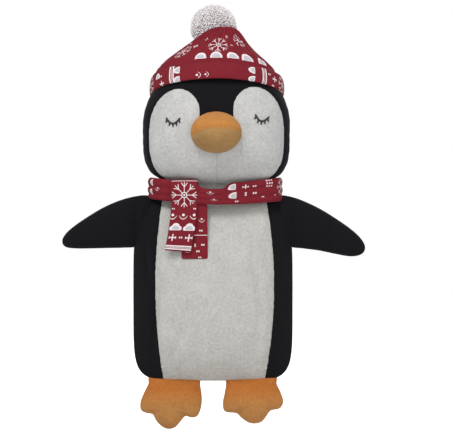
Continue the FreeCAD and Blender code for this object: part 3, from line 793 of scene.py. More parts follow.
def apply_modifiers(obj):
    """Replaces an object's mesh by its finished one."""
    graph = bpy.context.evaluated_depsgraph_get()
    data = bpy.data.meshes.new_from_object(obj.evaluated_get(graph), depsgraph=graph)
    obj.modifiers.clear()
    old, obj.data = obj.data, data
    bpy.data.meshes.remove(old)


# ---------------------------------------------------------------- flat body

BODY_LEVEL = HEM + 105 * MM


def body_shape(z):
    """Half-width and half-depth of the body at this height."""
    if z < BODY_LEVEL:
        share = (BODY_LEVEL - z) / (BODY_LEVEL - HEM)
        return BODY_HALF * rounded(share * 0.985, 7.0), BODY_DEPTH * rounded(share, 2.4)
    share = (z - BODY_LEVEL) / (BODY_TOP - BODY_LEVEL)
    return BODY_HALF * rounded(share * 0.975, 3.9), BODY_DEPTH * rounded(share, 2.4)


def belly_edges(z):
    """Left and right edge of the pale belly panel at this height."""
    share = (z - HEM) / (BODY_TOP - HEM)
    left = -54 * MM - 36 * MM * share * (1 - share)
    right = 56.5 * MM + 42 * MM * share * (1 - share)
    return left, right


# A crease's half-width, then the ridge beside it: how far off, its half-width, and its share of
# the crease's depth. Lengths in millimetres.
CREASE_WIDE = 3.0
RIDGE_OFF = 6
RIDGE_WIDE = 4.5
RIDGE_SHARE = 0.6

# Slack creases in the front: across at the foot and top, foot and top level, depth, in millimetres.
CREASES = (
    (-46, -22, 62, 158, 2.6),
    (-66, -60, 70, 190, 2.0),
    (54, 40, 120, 226, 2.2),
    (48, 50, 60, 130, 1.8),
    (-70, -74, 150, 215, 1.8),
)


def body_point(x, z, side):
    """A point of the body's front or back sheet, from a point of the unit disc."""
    spread = math.hypot(x, z)
    turn = math.atan2(z, x)
    upper = z > 0
    exponent = 3.9 if upper else 7.0
    tall = (BODY_TOP - BODY_LEVEL) if upper else (BODY_LEVEL - HEM)
    reach = (abs(math.cos(turn)) / BODY_HALF) ** exponent + (abs(math.sin(turn)) / tall) ** exponent
    reach = reach ** (-1 / exponent)
    px, pz = spread * reach * math.cos(turn), BODY_LEVEL + spread * reach * math.sin(turn)
    rim = max(0.0, 1 - spread**6) ** 0.5
    _, deep = body_shape(pz)
    side_share = min(1.0, abs(px) / BODY_HALF)
    depth = (deep * (1 - side_share**2.6) ** 0.62 + 2.2 * MM) * rim
    if side == -1:
        left, right = belly_edges(pz)
        middle = (px - left) / (right - left)
        if 0 < middle < 1:
            depth += 1.6 * MM * rim * (4 * middle * (1 - middle)) ** 0.7
        for edge in (left, right):
            gap = abs(px - edge)
            depth -= 1.3 * MM * rim * math.exp(-((gap / (3.2 * MM)) ** 2))
            fold = math.sin(pz * 520 + 3 * ripple((0, 0, pz), 20, 4))
            depth += sizes().pucker * 0.6 * rim * fold * math.exp(-gap / (6 * MM))
    if side == -1:
        for foot_x, top_x, foot_z, top_z, deep_mm in CREASES:
            share = (pz / MM - foot_z) / (top_z - foot_z)
            if 0 < share < 1:
                gap = px / MM - (foot_x + (top_x - foot_x) * share)
                fade = math.sin(math.pi * share) ** 0.7
                hollow = math.exp(-((gap / CREASE_WIDE) ** 2))
                ridge = RIDGE_SHARE * math.exp(-(((gap - RIDGE_OFF) / RIDGE_WIDE) ** 2))
                depth -= deep_mm * MM * fade * (hollow - ridge)
    slack = ripple((px, 0.3 * side, pz), 17, 1) + 0.5 * ripple((px * 2.2, side, pz * 0.6), 30, 2)
    depth += sizes().wrinkle * rim * slack
    edge_gap = (1 - spread) * reach
    gather = math.sin(turn * 70 + 4 * ripple((px, side, pz), 15, 3))
    depth += sizes().pucker * rim * gather * math.exp(-edge_gap / (7 * MM))
    return Vector((px, MIDDLE + side * max(depth, 0.0), pz))


def make_body():
    """Pale belly, black sides and black back, sewn round a slack stuffed body."""
    turn_in = sizes().seam_turn
    mesh = two_sheets(96, body_point)
    for edge in (0, 1):
        cut_along(mesh, lambda point, edge=edge: front_field(point, lambda p: p.x - belly_edges(p.z)[edge]))
    front = lambda point: point.y < MIDDLE
    left = lambda point: point.x < belly_edges(point.z)[0]
    right = lambda point: point.x > belly_edges(point.z)[1]
    black = black_plush()
    panels = (
        ("belly_cloth", lambda p: front(p) and not left(p) and not right(p), "belly_panel", "cream_plush"),
        ("side_cloth_left", lambda p: front(p) and left(p), "side_panel_left", "black_plush"),
        ("side_cloth_right", lambda p: front(p) and right(p), "side_panel_right", "black_plush"),
        ("back_cloth", lambda p: not front(p), "back_panel", "black_plush"),
    )
    for name, wanted, node, slot in panels:
        obj = take_panel(mesh, name, wanted, turn_in)
        subdivide(obj)
        material = black if slot == "black_plush" else pale_plush("belly plush", tuple(colours().cream))
        nodes = [node] + (["body_wadding"] if name == "back_cloth" else [])
        finish_piece(obj, material, "torso", nodes)
    mesh.free()


def front_field(point, field):
    """A field that counts only in front; behind it keeps one sign."""
    return field(point) if point.y < MIDDLE + 1e-5 else 1.0


# ---------------------------------------------------------------- head

LOBE_OUT, LOBE_INNER, LOBE_FALL = 41.5 * MM, 23.5 * MM, 26 * MM
LOBE_TOP = HEAD_LEVEL + 43.5 * MM
LOBE_OUTER_FALL = 45 * MM


def face_field(point):
    """Positive inside the white of the face, in metres from its edge: two lobes over full cheeks."""
    across = point.x - HEAD_X
    top = LOBE_TOP - (2.4 * MM if across < 0 else 0)
    out = abs(across) - LOBE_OUT
    # The outer edge runs a little inside the head's own outline, and rounds over at the top.
    share = (min(point.z, top - LOBE_OUTER_FALL) - HEAD_LEVEL) / (HEAD_LEVEL - CHIN)
    cheek = HEAD_HALF * rounded(max(-1.0, min(0.0, share)) * 0.985, 4.0) - 8.0 * MM
    if out > 0:
        rise = max(0.0, point.z - top + LOBE_OUTER_FALL) / LOBE_OUTER_FALL
        return LOBE_OUTER_FALL * (1 - math.hypot(out / max(cheek - LOBE_OUT, 1 * MM), rise))
    # The inner edges go down behind the beak, where the two lobes join.
    rise = max(0.0, point.z - top + LOBE_FALL) / LOBE_FALL
    lobe = LOBE_FALL * (1 - math.hypot(out / LOBE_INNER, rise))
    return max(lobe, (HEAD_LEVEL - 2 * MM - point.z) * 0.8)


def head_shape(share):
    """Half-width and half-depth of the head, from -1 at the chin to 1 at the crown."""
    outline = 4.0 if share < 0 else 2.05
    wide = HEAD_HALF * rounded(share * 0.985, outline)
    deep = 9 * MM + (HEAD_DEPTH - 9 * MM) * rounded(share, 2.0)
    return wide, deep


def head_point(level, turn):
    """A point of the head; level runs from -1 at the chin to 1 at the crown."""
    share = math.sin(level * math.pi / 2)
    wide, deep = head_shape(share)
    cap = max(0.0, 1 - abs(level) ** 24) ** 0.5
    reach = (HEAD_LEVEL - CHIN) if share < 0 else (SKULL - HEAD_LEVEL)
    side, front = math.cos(turn), math.sin(turn)
    # Slightly squarer than an ellipse in plan, so that the cheeks are full.
    square = (abs(side) ** 2.25 + abs(front) ** 2.25) ** (-1 / 2.25)
    return Vector(
        (
            HEAD_X + wide * side * square * cap,
            MIDDLE - deep * front * square * cap,
            HEAD_LEVEL + reach * share,
        )
    )


def head_mesh():
    columns, rows = 144, 84
    mesh = bmesh.new()
    rings = []
    for i in range(1, rows):
        level = -1 + 2 * i / rows
        rings.append([mesh.verts.new(head_point(level, 2 * math.pi * j / columns)) for j in range(columns)])
    for lower, upper in zip(rings, rings[1:]):
        for j in range(columns):
            k = (j + 1) % columns
            mesh.faces.new((lower[k], lower[j], upper[j], upper[k]))
    for ring, level in ((rings[0], -1), (rings[-1], 1)):
        pole = mesh.verts.new(head_point(level, 0))
        for j in range(columns):
            k = (j + 1) % columns
            corners = (ring[j], ring[k], pole) if level < 0 else (ring[k], ring[j], pole)
            mesh.faces.new(corners)
    bmesh.ops.recalc_face_normals(mesh, faces=mesh.faces)
    mesh.normal_update()
    shape_head(mesh)
    return mesh


def shape_head(mesh):
    """Seams pull in, panels swell, and the stuffing leaves slow lumps."""
    moves = {}
    for vert in mesh.verts:
        point = vert.co
        push = sizes().wrinkle * 0.8 * ripple(point, 16, 7) + 0.4 * MM * ripple(point, 45, 8)
        if point.y < MIDDLE:
            edge = abs(face_field(point))
            push -= 1.1 * MM * math.exp(-((edge / (3 * MM)) ** 2))
            if point.z < HEAD_LEVEL - 26 * MM:
                gap = abs(point.x - HEAD_X)
                push -= 0.45 * MM * math.exp(-((gap / (3 * MM)) ** 2))
        gap = abs(point.y - MIDDLE)
        gather = math.sin(point.z * 560 + 3 * ripple(point, 18, 5))
        push -= 0.9 * MM * math.exp(-((gap / (3 * MM)) ** 2))
        push += sizes().pucker * 0.6 * gather * math.exp(-gap / (5 * MM))
        moves[vert] = vert.normal * push
    for vert, move in moves.items():
        vert.co += move


def make_head():
    """White face in two halves, black forehead, and a black back in two halves."""
    mesh = head_mesh()
    cut_along(mesh, lambda point: point.y - MIDDLE)
    cut_along(mesh, lambda point: front_field(point, face_field))
    cut_along(mesh, lambda point: point.x - HEAD_X)
    front = lambda point: point.y < MIDDLE
    white = lambda point: front(point) and face_field(point) > 0
    left = lambda point: point.x < HEAD_X
    black, pale = black_plush(), pale_plush("face plush", tuple(colours().white))
    panels = (
        ("face_cloth_left", lambda p: white(p) and left(p), ["face_panel_left"], pale, "white_plush"),
        ("face_cloth_right", lambda p: white(p) and not left(p), ["face_panel_right"], pale, "white_plush"),
        ("forehead_cloth", lambda p: front(p) and not white(p), ["forehead_panel"], black, "black_plush"),
        (
            "nape_cloth_left", lambda p: not front(p) and left(p),
            ["head_back_left", "head_wadding"], black, "black_plush",
        ),
        (
            "nape_cloth_right", lambda p: not front(p) and not left(p),
            ["head_back_right"], black, "black_plush",
        ),
    )
    for name, wanted, nodes, material, slot in panels:
        obj = take_panel(mesh, name, wanted, sizes().seam_turn)
        subdivide(obj)
        finish_piece(obj, material, "head", nodes)
    mesh.free()


def make_neck():
    """A short sleeve of plush inside the scarf."""
    columns, rows = 72, 12
    foot, top = BODY_TOP - 14 * MM, CHIN + 12 * MM
    points = []
    for i in range(rows):
        share = i / (rows - 1)
        z = foot + (top - foot) * share
        wide, deep = 46 * MM - 6 * MM * share, 12 * MM - 3 * MM * share
        ring = []
        for j in range(columns):
            turn = 2 * math.pi * j / columns
            fold = 1 + 0.03 * math.sin(turn * 17)
            x = 2 * MM + wide * math.cos(turn) * fold
            ring.append(Vector((x, MIDDLE + deep * math.sin(turn) * fold, z)))
        points.append(ring)
    obj = grid_object("neck_cloth", points, lambda i, j: (j * 3 * MM, i * 3 * MM), closed=True)
    thicken(obj, sizes().jersey, -1)
    subdivide(obj)
    bend = ("torso", "head", (0, MIDDLE, foot + 4 * MM), (0, MIDDLE, top - 4 * MM))
    finish_piece(obj, pale_plush("neck plush", tuple(colours().white)), bend)


# ---------------------------------------------------------------- beak


def beak_point(x, z, side):
    """The beak's front bulges out; its back is hidden in the face."""
    centre = (BEAK_LOW + BEAK_HIGH) / 2
    half_wide = (BEAK_HIGH.x - BEAK_LOW.x) / 2
    half_tall = (BEAK_HIGH.z - BEAK_LOW.z) / 2
    spread = min(1.0, math.hypot(x, z))
    root = MIDDLE - HEAD_DEPTH + 4 * MM
    reach = root - BEAK_TIP
    swell = max(0.0, 1 - spread**2.1) ** 0.52
    px, pz = centre.x + half_wide * x, centre.z - 1.1 * MM + half_tall * z
    if side == 1:
        return Vector((px, root + 7 * MM * (1 - spread), pz))
    bulge_out = reach * swell
    seam = abs(beak_field(Vector((px, 0, pz))))
    bulge_out -= 2.1 * MM * math.exp(-((seam / (2.4 * MM)) ** 2)) * (swell > 0)
    if beak_field(Vector((px, 0, pz))) > 0:
        tuck = max(0.0, math.sin((px - centre.x) * 430 + 1.2)) ** 3
        bulge_out -= 1.1 * MM * tuck * math.exp(-seam / (8 * MM)) * swell
    bulge_out += 0.5 * MM * ripple((px, 0, pz), 60, 11) * swell
    return Vector((px, root - max(bulge_out, 0.0), pz))


def beak_field(point):
    """Positive above the mouth seam, which arches over the middle."""
    middle = (BEAK_LOW.z + BEAK_HIGH.z) / 2
    across = (point.x - HEAD_X) / (28 * MM)
    fall = 9.5 * MM if across < 0 else 5.0 * MM
    return point.z - (middle + 3.4 * MM - fall * across**2)


def make_beak():
    mesh = two_sheets(56, beak_point)
    cut_along(mesh, beak_field)
    halves = (
        (
            "beak_cloth_upper", 1, ["beak_upper", "beak_wadding"],
            "beak_plush_dark", "upper beak plush", colours().beak_top,
        ),
        (
            "beak_cloth_lower", -1, ["beak_lower"],
            "beak_plush_light", "lower beak plush", colours().beak_under,
        ),
    )
    for name, sign, nodes, slot, label, colour in halves:
        obj = take_panel(mesh, name, lambda p, sign=sign: beak_field(p) * sign > 0, 1.2 * MM)
        subdivide(obj)
        finish_piece(obj, tan_plush(label, tuple(colour)), "head", nodes)
    mesh.free()


# ---------------------------------------------------------------- wings and feet


def smooth_outline(points, count=160):
    """Polar outline through the given points round their middle: centre and reach by angle."""
    centre = sum(points, Vector((0, 0))) / len(points)
    loop = []
    total = len(points)
    for i in range(total):
        before, start, end, after = (points[(i + k) % total] for k in (-1, 0, 1, 2))
        for step in range(12):
            share = step / 12
            curve = (
                start * 2
                + (end - before) * share
                + (before * 2 - start * 5 + end * 4 - after) * share**2
                + (start * 3 - before - end * 3 + after) * share**3
            ) / 2
            loop.append(curve - centre)
    angles = np.array([math.atan2(p.y, p.x) for p in loop])
    reaches = np.array([p.length for p in loop])
    order = np.argsort(angles)
    table = np.linspace(-math.pi, math.pi, count)
    reach = np.interp(table, angles[order], reaches[order], period=2 * math.pi)
    return centre, table, reach


def flat_form(outline, depth_at, seed, count=64):
    """Two sheets of the outline's shape; depth_at(x, z, spread) is the half-depth there."""
    centre, table, reach = outline

    def place(x, z, side):
        spread = min(1.0, math.hypot(x, z))
        turn = math.atan2(z, x)
        out = spread * float(np.interp(turn, table, reach))
        px, pz = centre.x + out * math.cos(turn), centre.y + out * math.sin(turn)
        rim = max(0.0, 1 - spread**2.4) ** 0.55
        depth = depth_at(px, pz, spread) * rim
        depth += 0.8 * MM * rim * ripple((px, side * 0.2, pz), 28, seed)
        gap = (1 - spread) * out / max(spread, 1e-6)
        depth += 0.45 * MM * rim * math.sin(turn * 44 + 3 * ripple((px, side, pz), 20, seed)) * math.exp(
            -gap / (5 * MM)
        )
        return Vector((px, MIDDLE + side * max(depth, 0.0), pz))

    return two_sheets(count, place)


# Outline of each wing, from its top at the neck out to the tip and back along the lower edge.
WINGS = {
    "left": (
        (-60, 250), (-72, 257), (-88, 255.5), (-104, 251), (-121, 243.5), (-137, 234), (-151, 224.5),
        (-161, 216), (-166, 207.5), (-163, 200.5), (-152, 198.6), (-134, 198.6), (-116, 199),
        (-98, 199.4), (-84, 201), (-74, 212), (-64, 232),
    ),
    "right": (
        (60, 250), (72, 257), (88, 255), (104, 249), (120, 241), (136, 231), (151, 220.5),
        (162, 210.5), (167.5, 200.5), (164, 192.5), (152, 189.8), (135, 192.5), (117, 196.2),
        (99, 198.6), (84, 201), (74, 212), (64, 232),
    ),
}


def make_wing(side):
    """A lightly stuffed wing of two black panels, sewn into the side seam."""
    sign = -1 if side == "left" else 1
    outline = smooth_outline([Vector((x * MM, z * MM)) for x, z in WINGS[side]])
    seam_x = abs(pivot(f"wing_{side}_fold").x)

    def depth_at(x, z, spread):
        out = abs(x) - seam_x
        swell = 10.5 * MM if out > 0 else 8.5 * MM
        pinch = 2.6 * MM * math.exp(-((out / (5 * MM)) ** 2))
        return swell - pinch

    mesh = flat_form(outline, depth_at, 21 if side == "left" else 22)
    seam_z = pivot(f"wing_{side}_fold").z
    start = (sign * (seam_x - 7 * MM), MIDDLE, seam_z + 1 * MM)
    end = (sign * (seam_x + 16 * MM), MIDDLE, seam_z - 2 * MM)
    for part, sheet in (("front", -1), ("back", 1)):
        wanted = lambda p, sheet=sheet: (p.y - MIDDLE) * sheet > 0
        obj = take_panel(mesh, f"wing_cloth_{side}_{part}", wanted, 1.2 * MM)
        subdivide(obj)
        nodes = [f"wing_{side}_{part}"] + ([f"wing_{side}_wadding"] if part == "back" else [])
        finish_piece(obj, black_plush(), ("torso", f"wing_{side}", start, end), nodes)
    mesh.free()


# Outline of each foot from its hem round three toes, across from the body's middle.
FEET = {
    "left": (
        (-69, 59), (-71, 50), (-76, 40), (-80, 29), (-79, 20.5), (-72, 17.2), (-66.5, 16.2),
        (-62, 8.5), (-55.5, 2.4), (-48.5, 0.3), (-41.5, 2.2), (-35.5, 8.6), (-30.2, 14.4),
        (-24.0, 12.6), (-17.2, 14.4), (-13.0, 24), (-12.2, 36), (-14.2, 50), (-15, 59), (-42, 64),
    ),
    "right": (
        (15, 59), (14.4, 50), (12.8, 40), (10.8, 29), (13.0, 19.4), (25.5, 17.4), (31.0, 12.6),
        (38.5, 7.4), (45.4, 6.0), (53.2, 7.8), (58.0, 13.0), (63.4, 20.2), (73.2, 22.6),
        (77.4, 30), (74.6, 40), (70, 50), (68.6, 59), (42, 64),
    ),
}
TOE_GAPS = {"left": ((-66.5, 17), (-30.2, 15)), "right": ((31.0, 13.5), (63.4, 21))}


def make_foot(side):
    """A stuffed foot with three toes, sewn into the hem."""
    outline = smooth_outline([Vector((x * MM, z * MM)) for x, z in FEET[side]])
    gaps = [Vector((x * MM, z * MM)) for x, z in TOE_GAPS[side]]
    ankle = Vector((outline[0].x, HEM))

    def depth_at(x, z, spread):
        full = min(1.0, max(0.0, (HEM + 4 * MM - z) / (26 * MM)))
        depth = 3.2 * MM + 8.6 * MM * full**0.8
        here = Vector((x, z))
        # A tuck runs up from between the toes.
        for gap in gaps:
            way = (ankle - gap).normalized()
            along = (here - gap).dot(way)
            across = (here - gap - way * along).length
            if along > -8 * MM:
                fade = math.exp(-max(along, 0) / (13 * MM))
                depth -= 3.4 * MM * fade * math.exp(-((across / (3.4 * MM)) ** 2))
        return depth

    mesh = flat_form(outline, depth_at, 31 if side == "left" else 32)
    x = outline[0].x
    start, end = (x, MIDDLE, HEM + 3 * MM), (x, MIDDLE, HEM - 12 * MM)
    # Painted shade: towards the hem, where the foot meets the body, the orange darkens and deepens.
    painted_hem_shade = ((0.94, 0.66, 0.42), HEM - 30 * MM, HEM - 8 * MM)
    material = tan_plush("foot plush", tuple(colours().foot), painted_hem_shade)
    for part, sheet in (("top", -1), ("sole", 1)):
        wanted = lambda p, sheet=sheet: (p.y - MIDDLE) * sheet > 0
        obj = take_panel(mesh, f"foot_cloth_{side}_{part}", wanted, 1.2 * MM)
        subdivide(obj)
        nodes = [f"foot_{side}_{part}"] + ([f"foot_{side}_wadding"] if part == "sole" else [])
        finish_piece(obj, material, ("torso", f"foot_{side}", start, end), nodes)
    mesh.free()


# ---------------------------------------------------------------- hat

HAT_TILT = math.radians(20)
BRIM = HEAD_LEVEL + 36 * MM
CUFF_HALF = (high("hat_cuff").x - low("hat_cuff").x) / 2
CUFF_DEPTH = 52 * MM
CUFF_BACK = 3 * MM


def hat_point(x, y, z):
    """A point by the hat's own axes, which lean back from the brim's centre."""
    lean, level = math.sin(HAT_TILT), math.cos(HAT_TILT)
    return Vector((HEAD_X + x, MIDDLE + y * level + z * lean, BRIM - y * lean + z * level))


def make_cuff():
    """The hat's cuff: a strip folded double, its fold at the brim."""
    columns = 180
    # Out from the cuff's face and up from the brim, from the hidden edge round the fold to the top.
    profile = (
        (-3.6, 15), (-3.6, 9), (-3.4, 4), (-2.6, 0.4), (-1.2, -0.9), (0.2, 0.2), (0.9, 3.0),
        (1.2, 7), (1.1, 11), (0.7, 15), (0.0, 18.2), (-1.1, 19.6), (-2.4, 18.8),
    )
    length = ellipse_round(CUFF_HALF, CUFF_DEPTH)
    run = [0.0]
    for first, second in zip(profile, profile[1:]):
        run.append(run[-1] + math.dist(first, second) * MM)
    points = []
    for out, up in profile:
        ring = []
        for j in range(columns):
            turn = round_turn(j, columns)
            around = (math.cos(turn), math.sin(turn), 0.0)
            wave = ripple(around, 2.2, 41) * 1.1 + ripple(around, 6.5, 42) * 0.5
            lift = ripple(around, 1.7, 43) * 1.2 * (up / 20)
            reach = (out + wave * (0.3 + up / 30)) * MM
            x = (CUFF_HALF - 1.4 * MM + reach) * math.cos(turn)
            y = (CUFF_DEPTH + reach) * math.sin(turn)
            ring.append(hat_point(x, y + CUFF_BACK, (up + lift) * MM))
        points.append(ring)
    obj = grid_object(
        "hat_cuff_cloth", points, lambda i, j: ((j / columns - 0.5) * length, run[i]), closed=True
    )
    thicken(obj, sizes().jersey, -1)
    subdivide(obj)
    material = printed_jersey("cuff")
    finish_piece(obj, material, "head", ["hat_cuff"])


def round_turn(step, steps):
    """Angle of a step round an oval, which begins at the back and passes the front half way."""
    return math.pi / 2 + 2 * math.pi * step / steps


def ellipse_round(a, b):
    """Length of an ellipse's outline."""
    ratio = ((a - b) / (a + b)) ** 2
    return math.pi * (a + b) * (1 + 3 * ratio / (10 + math.sqrt(4 - 3 * ratio)))


# The crown's width by its share of the height, from under the cuff to the gathered tip.
CROWN_SHARES = (0.0, 0.12, 0.3, 0.42, 0.58, 0.72, 0.84, 0.92, 0.97, 1.0)
CROWN_WIDTHS = (0.985, 0.99, 0.91, 0.8, 0.62, 0.46, 0.34, 0.25, 0.16, 0.04)


def make_crown():
    """The hat's crown: one cloth gathered into a tip, which slouches forwards and to one side."""
    columns, rows = 220, 60
    start, rise = 10 * MM, 57 * MM
    slouch, lean = 9 * MM, 36 * MM
    around, along = CUFF_HALF - 3.6 * MM, CUFF_DEPTH - 3.6 * MM
    length = ellipse_round(around, along)
    points = []
    for i in range(rows):
        share = i / (rows - 1)
        width = float(np.interp(share, CROWN_SHARES, CROWN_WIDTHS))
        drift = share**1.5
        ring = []
        for j in range(columns):
            turn = round_turn(j, columns)
            spot = (math.cos(turn), math.sin(turn), share * 0.6)
            # Pleats grow out of nothing above the cuff and gather at the tip.
            wander = 1.3 * ripple(spot, 1.8, 51)
            pleat = math.cos(turn * 21 + 2.4 * wander + share * 1.5)
            sharp = 1 - abs(pleat) ** 0.6
            deep = 6 * MM * share**1.6 * (1 - share) ** 0.5
            fold = ripple((spot[0] * 1.2, spot[1] * 1.2, share), 2.1, 52)
            reach = 1 - 0.055 * fold * share
            push = deep * (0.45 - sharp) + 1.6 * MM * fold * share
            lop = slouch * drift - 4 * MM * math.sin(math.pi * share**1.15)
            x = (around * width * reach + push) * math.cos(turn) + lop
            y = (along * width * reach + push) * math.sin(turn) + CUFF_BACK - lean * drift
            sag = 2.2 * MM * ripple(spot, 2.6, 53) * share
            ring.append(hat_point(x, y, start + rise * share + sag))
        points.append(ring)
    obj = grid_object(
        "hat_crown_cloth",
        points,
        lambda i, j: ((j / columns - 0.5) * length, i / (rows - 1) * 84 * MM),
        closed=True,
    )
    thicken(obj, sizes().jersey, -1)
    material = printed_jersey("crown")
    finish_piece(obj, material, "head", ["hat_crown"])
    length * 84 * MM * 0.72


# ---------------------------------------------------------------- pompom


def strand_tree():
    """Strands that stand out of a ball, curled a little, their number and length named inputs."""
    tree, given, made = new_tree(
        "GeometryNodeTree",
        "Pompom strands",
        (
            ("Geometry", "NodeSocketGeometry", None),
            ("Count", "NodeSocketInt", 1000),
            ("Length", "NodeSocketFloat", 0.006),
            ("Thickness", "NodeSocketFloat", 0.0006),
            ("Material", "NodeSocketMaterial", None),
        ),
        (("Geometry", "NodeSocketGeometry"),),
    )
    link = tree.links.new
    add = tree.nodes.new
    area = add("GeometryNodeAttributeStatistic")
    area.domain = "FACE"
    face = add("GeometryNodeInputMeshFaceArea")
    link(given.outputs["Geometry"], area.inputs["Geometry"])
    link(face.outputs[0], area.inputs["Attribute"])
    density = add("ShaderNodeMath")
    density.operation = "DIVIDE"
    link(given.outputs["Count"], density.inputs[0])
    link(area.outputs["Sum"], density.inputs[1])
    scatter = add("GeometryNodeDistributePointsOnFaces")
    scatter.distribute_method = "RANDOM"
    link(given.outputs["Geometry"], scatter.inputs["Mesh"])
    link(density.outputs[0], scatter.inputs["Density"])
    scatter.inputs["Seed"].default_value = 5
    line = add("GeometryNodeCurveQuadraticBezier")
    line.inputs["Resolution"].default_value = 3
    line.inputs["Start"].default_value = (0, 0, -0.3)
    line.inputs["Middle"].default_value = (0.35, 0, 0.5)
    line.inputs["End"].default_value = (0.0, 0.12, 1.0)
    taper = add("GeometryNodeSetCurveRadius")
    along = add("GeometryNodeSplineParameter")
    slim = add("ShaderNodeMapRange")
    slim.inputs["To Min"].default_value = 1.0
    slim.inputs["To Max"].default_value = 0.55
    link(along.outputs["Factor"], slim.inputs["Value"])
    link(line.outputs[0], taper.inputs["Curve"])
    link(slim.outputs[0], taper.inputs["Radius"])
    ring = add("GeometryNodeCurvePrimitiveCircle")
    ring.inputs["Resolution"].default_value = 4
    ratio = add("ShaderNodeMath")
    ratio.operation = "DIVIDE"
    link(given.outputs["Thickness"], ratio.inputs[0])
    link(given.outputs["Length"], ratio.inputs[1])
    link(ratio.outputs[0], ring.inputs["Radius"])
    tube = add("GeometryNodeCurveToMesh")
    tube.inputs["Fill Caps"].default_value = True
    link(taper.outputs[0], tube.inputs["Curve"])
    link(ring.outputs[0], tube.inputs["Profile Curve"])
    stand = add("GeometryNodeInstanceOnPoints")
    link(scatter.outputs["Points"], stand.inputs["Points"])
    link(tube.outputs[0], stand.inputs["Instance"])
    link(scatter.outputs["Rotation"], stand.inputs["Rotation"])
    length = add("FunctionNodeRandomValue")
    length.data_type = "FLOAT"
    length.inputs[2].default_value = 0.72
    length.inputs[3].default_value = 1.12
    length.inputs["Seed"].default_value = 2
    scale = add("ShaderNodeMath")
    scale.operation = "MULTIPLY"
    link(length.outputs[1], scale.inputs[0])
    link(given.outputs["Length"], scale.inputs[1])
    link(scale.outputs[0], stand.inputs["Scale"])
    spin = add("GeometryNodeRotateInstances")
    link(stand.outputs[0], spin.inputs["Instances"])
    whirl = add("FunctionNodeRandomValue")
    whirl.data_type = "FLOAT_VECTOR"
    whirl.inputs[0].default_value = (-0.45, -0.45, -math.pi)
    whirl.inputs[1].default_value = (0.45, 0.45, math.pi)
    whirl.inputs["Seed"].default_value = 3
    link(whirl.outputs[0], spin.inputs["Rotation"])
    real = add("GeometryNodeRealizeInstances")
    link(spin.outputs[0], real.inputs[0])
    both = add("GeometryNodeJoinGeometry")
    link(real.outputs[0], both.inputs[0])
    link(given.outputs["Geometry"], both.inputs[0])
    colour = add("GeometryNodeSetMaterial")
    link(both.outputs[0], colour.inputs["Geometry"])
    link(given.outputs["Material"], colour.inputs["Material"])
    link(colour.outputs[0], made.inputs[0])
    return tree


def run_tree(obj, tree, **values):
    """Runs a Geometry Nodes tree on an object and keeps its result as a plain mesh."""
    modifier = obj.modifiers.new("Made", "NODES")
    modifier.node_group = tree
    for item in tree.interface.items_tree:
        if item.in_out == "INPUT" and item.name in values:
            modifier[item.identifier] = values[item.name]
    apply_modifiers(obj)


def make_pompom():
    """A ball of cut yarn: a lumpy core under thousands of short strands."""
    centre = (POMPOM_LOW + POMPOM_HIGH) / 2
    radius = (POMPOM_HIGH.z - POMPOM_LOW.z) / 2
    core = bmesh.new()
    bmesh.ops.create_icosphere(core, subdivisions=5, radius=1.0)
    for vert in core.verts:
        lump = 1 + 0.035 * ripple(vert.co, 2.2, 61) + 0.02 * ripple(vert.co, 6, 62)
        vert.co = centre + vert.co * (radius - sizes().strand * 0.72) * lump
    data = bpy.data.meshes.new("pompom_yarn")
    core.to_mesh(data)
    core.free()
    obj = new_object("pompom_yarn", data)
    material = yarn_material("pompom yarn", tuple(colours().yarn))
    run_tree(
        obj,
        strand_tree(),
        Count=sizes().strands,
        Length=sizes().strand,
        Thickness=0.5 * MM,
        Material=material,
    )
    finish_piece(obj, material, "pompom", ["pompom", "pompom_tie"])
    make_tie(centre, material)


def make_tie(centre, material):
    """The yarn that ties the pompom to the crown."""
    foot = pivot("pompom_tip")
    way = (centre - foot).normalized()
    side = way.cross(Vector((1, 0, 0))).normalized()
    across = way.cross(side)
    columns, rows = 16, 20
    start, end = foot - way * 7 * MM, foot + way * 9 * MM
    points = []
    for i in range(rows):
        share = i / (rows - 1)
        middle = start.lerp(end, share)
        ring = []
        for j in range(columns):
            turn = 2 * math.pi * j / columns
            strand = 1 + 0.22 * math.cos(3 * (turn + share * 9))
            radius = 2.3 * MM * strand
            ring.append(middle + (side * math.cos(turn) + across * math.sin(turn)) * radius)
        points.append(ring)
    obj = grid_object("pompom_tie_yarn", points, lambda i, j: (j * MM, i * MM), closed=True)
    subdivide(obj)
    bend = ("head", "pompom", tuple(foot - way * 1 * MM), tuple(foot + way * 2 * MM))
    finish_piece(obj, material, bend)


# ---------------------------------------------------------------- scarf

BAND_HALF = (BAND_HIGH.x - BAND_LOW.x) / 2
BAND_DEPTH = (BAND_HIGH.y - BAND_LOW.y) / 2


def band_edges(x, front=1.0):
    """Foot and top of the scarf round the neck: it rises towards its sides, and sags in front."""
    share = min(1.0, abs(x) / BAND_HALF)
    foot = BAND_LOW.z - 3.0 * MM + 4.0 * MM * share**2 + (2.5 * MM * share if x < 0 else 0)
    top = BAND_HIGH.z - 3.0 * MM + 7.0 * MM * share**1.5
    sag = 1 / (1 + math.exp((x - 13 * MM) / (1.6 * MM))) / (1 + math.exp((-19 * MM - x) / (3 * MM)))
    return foot, top - 6.5 * MM * sag * front


BAND_SHIFT = 5 * MM  # the scarf sits closer on its left side


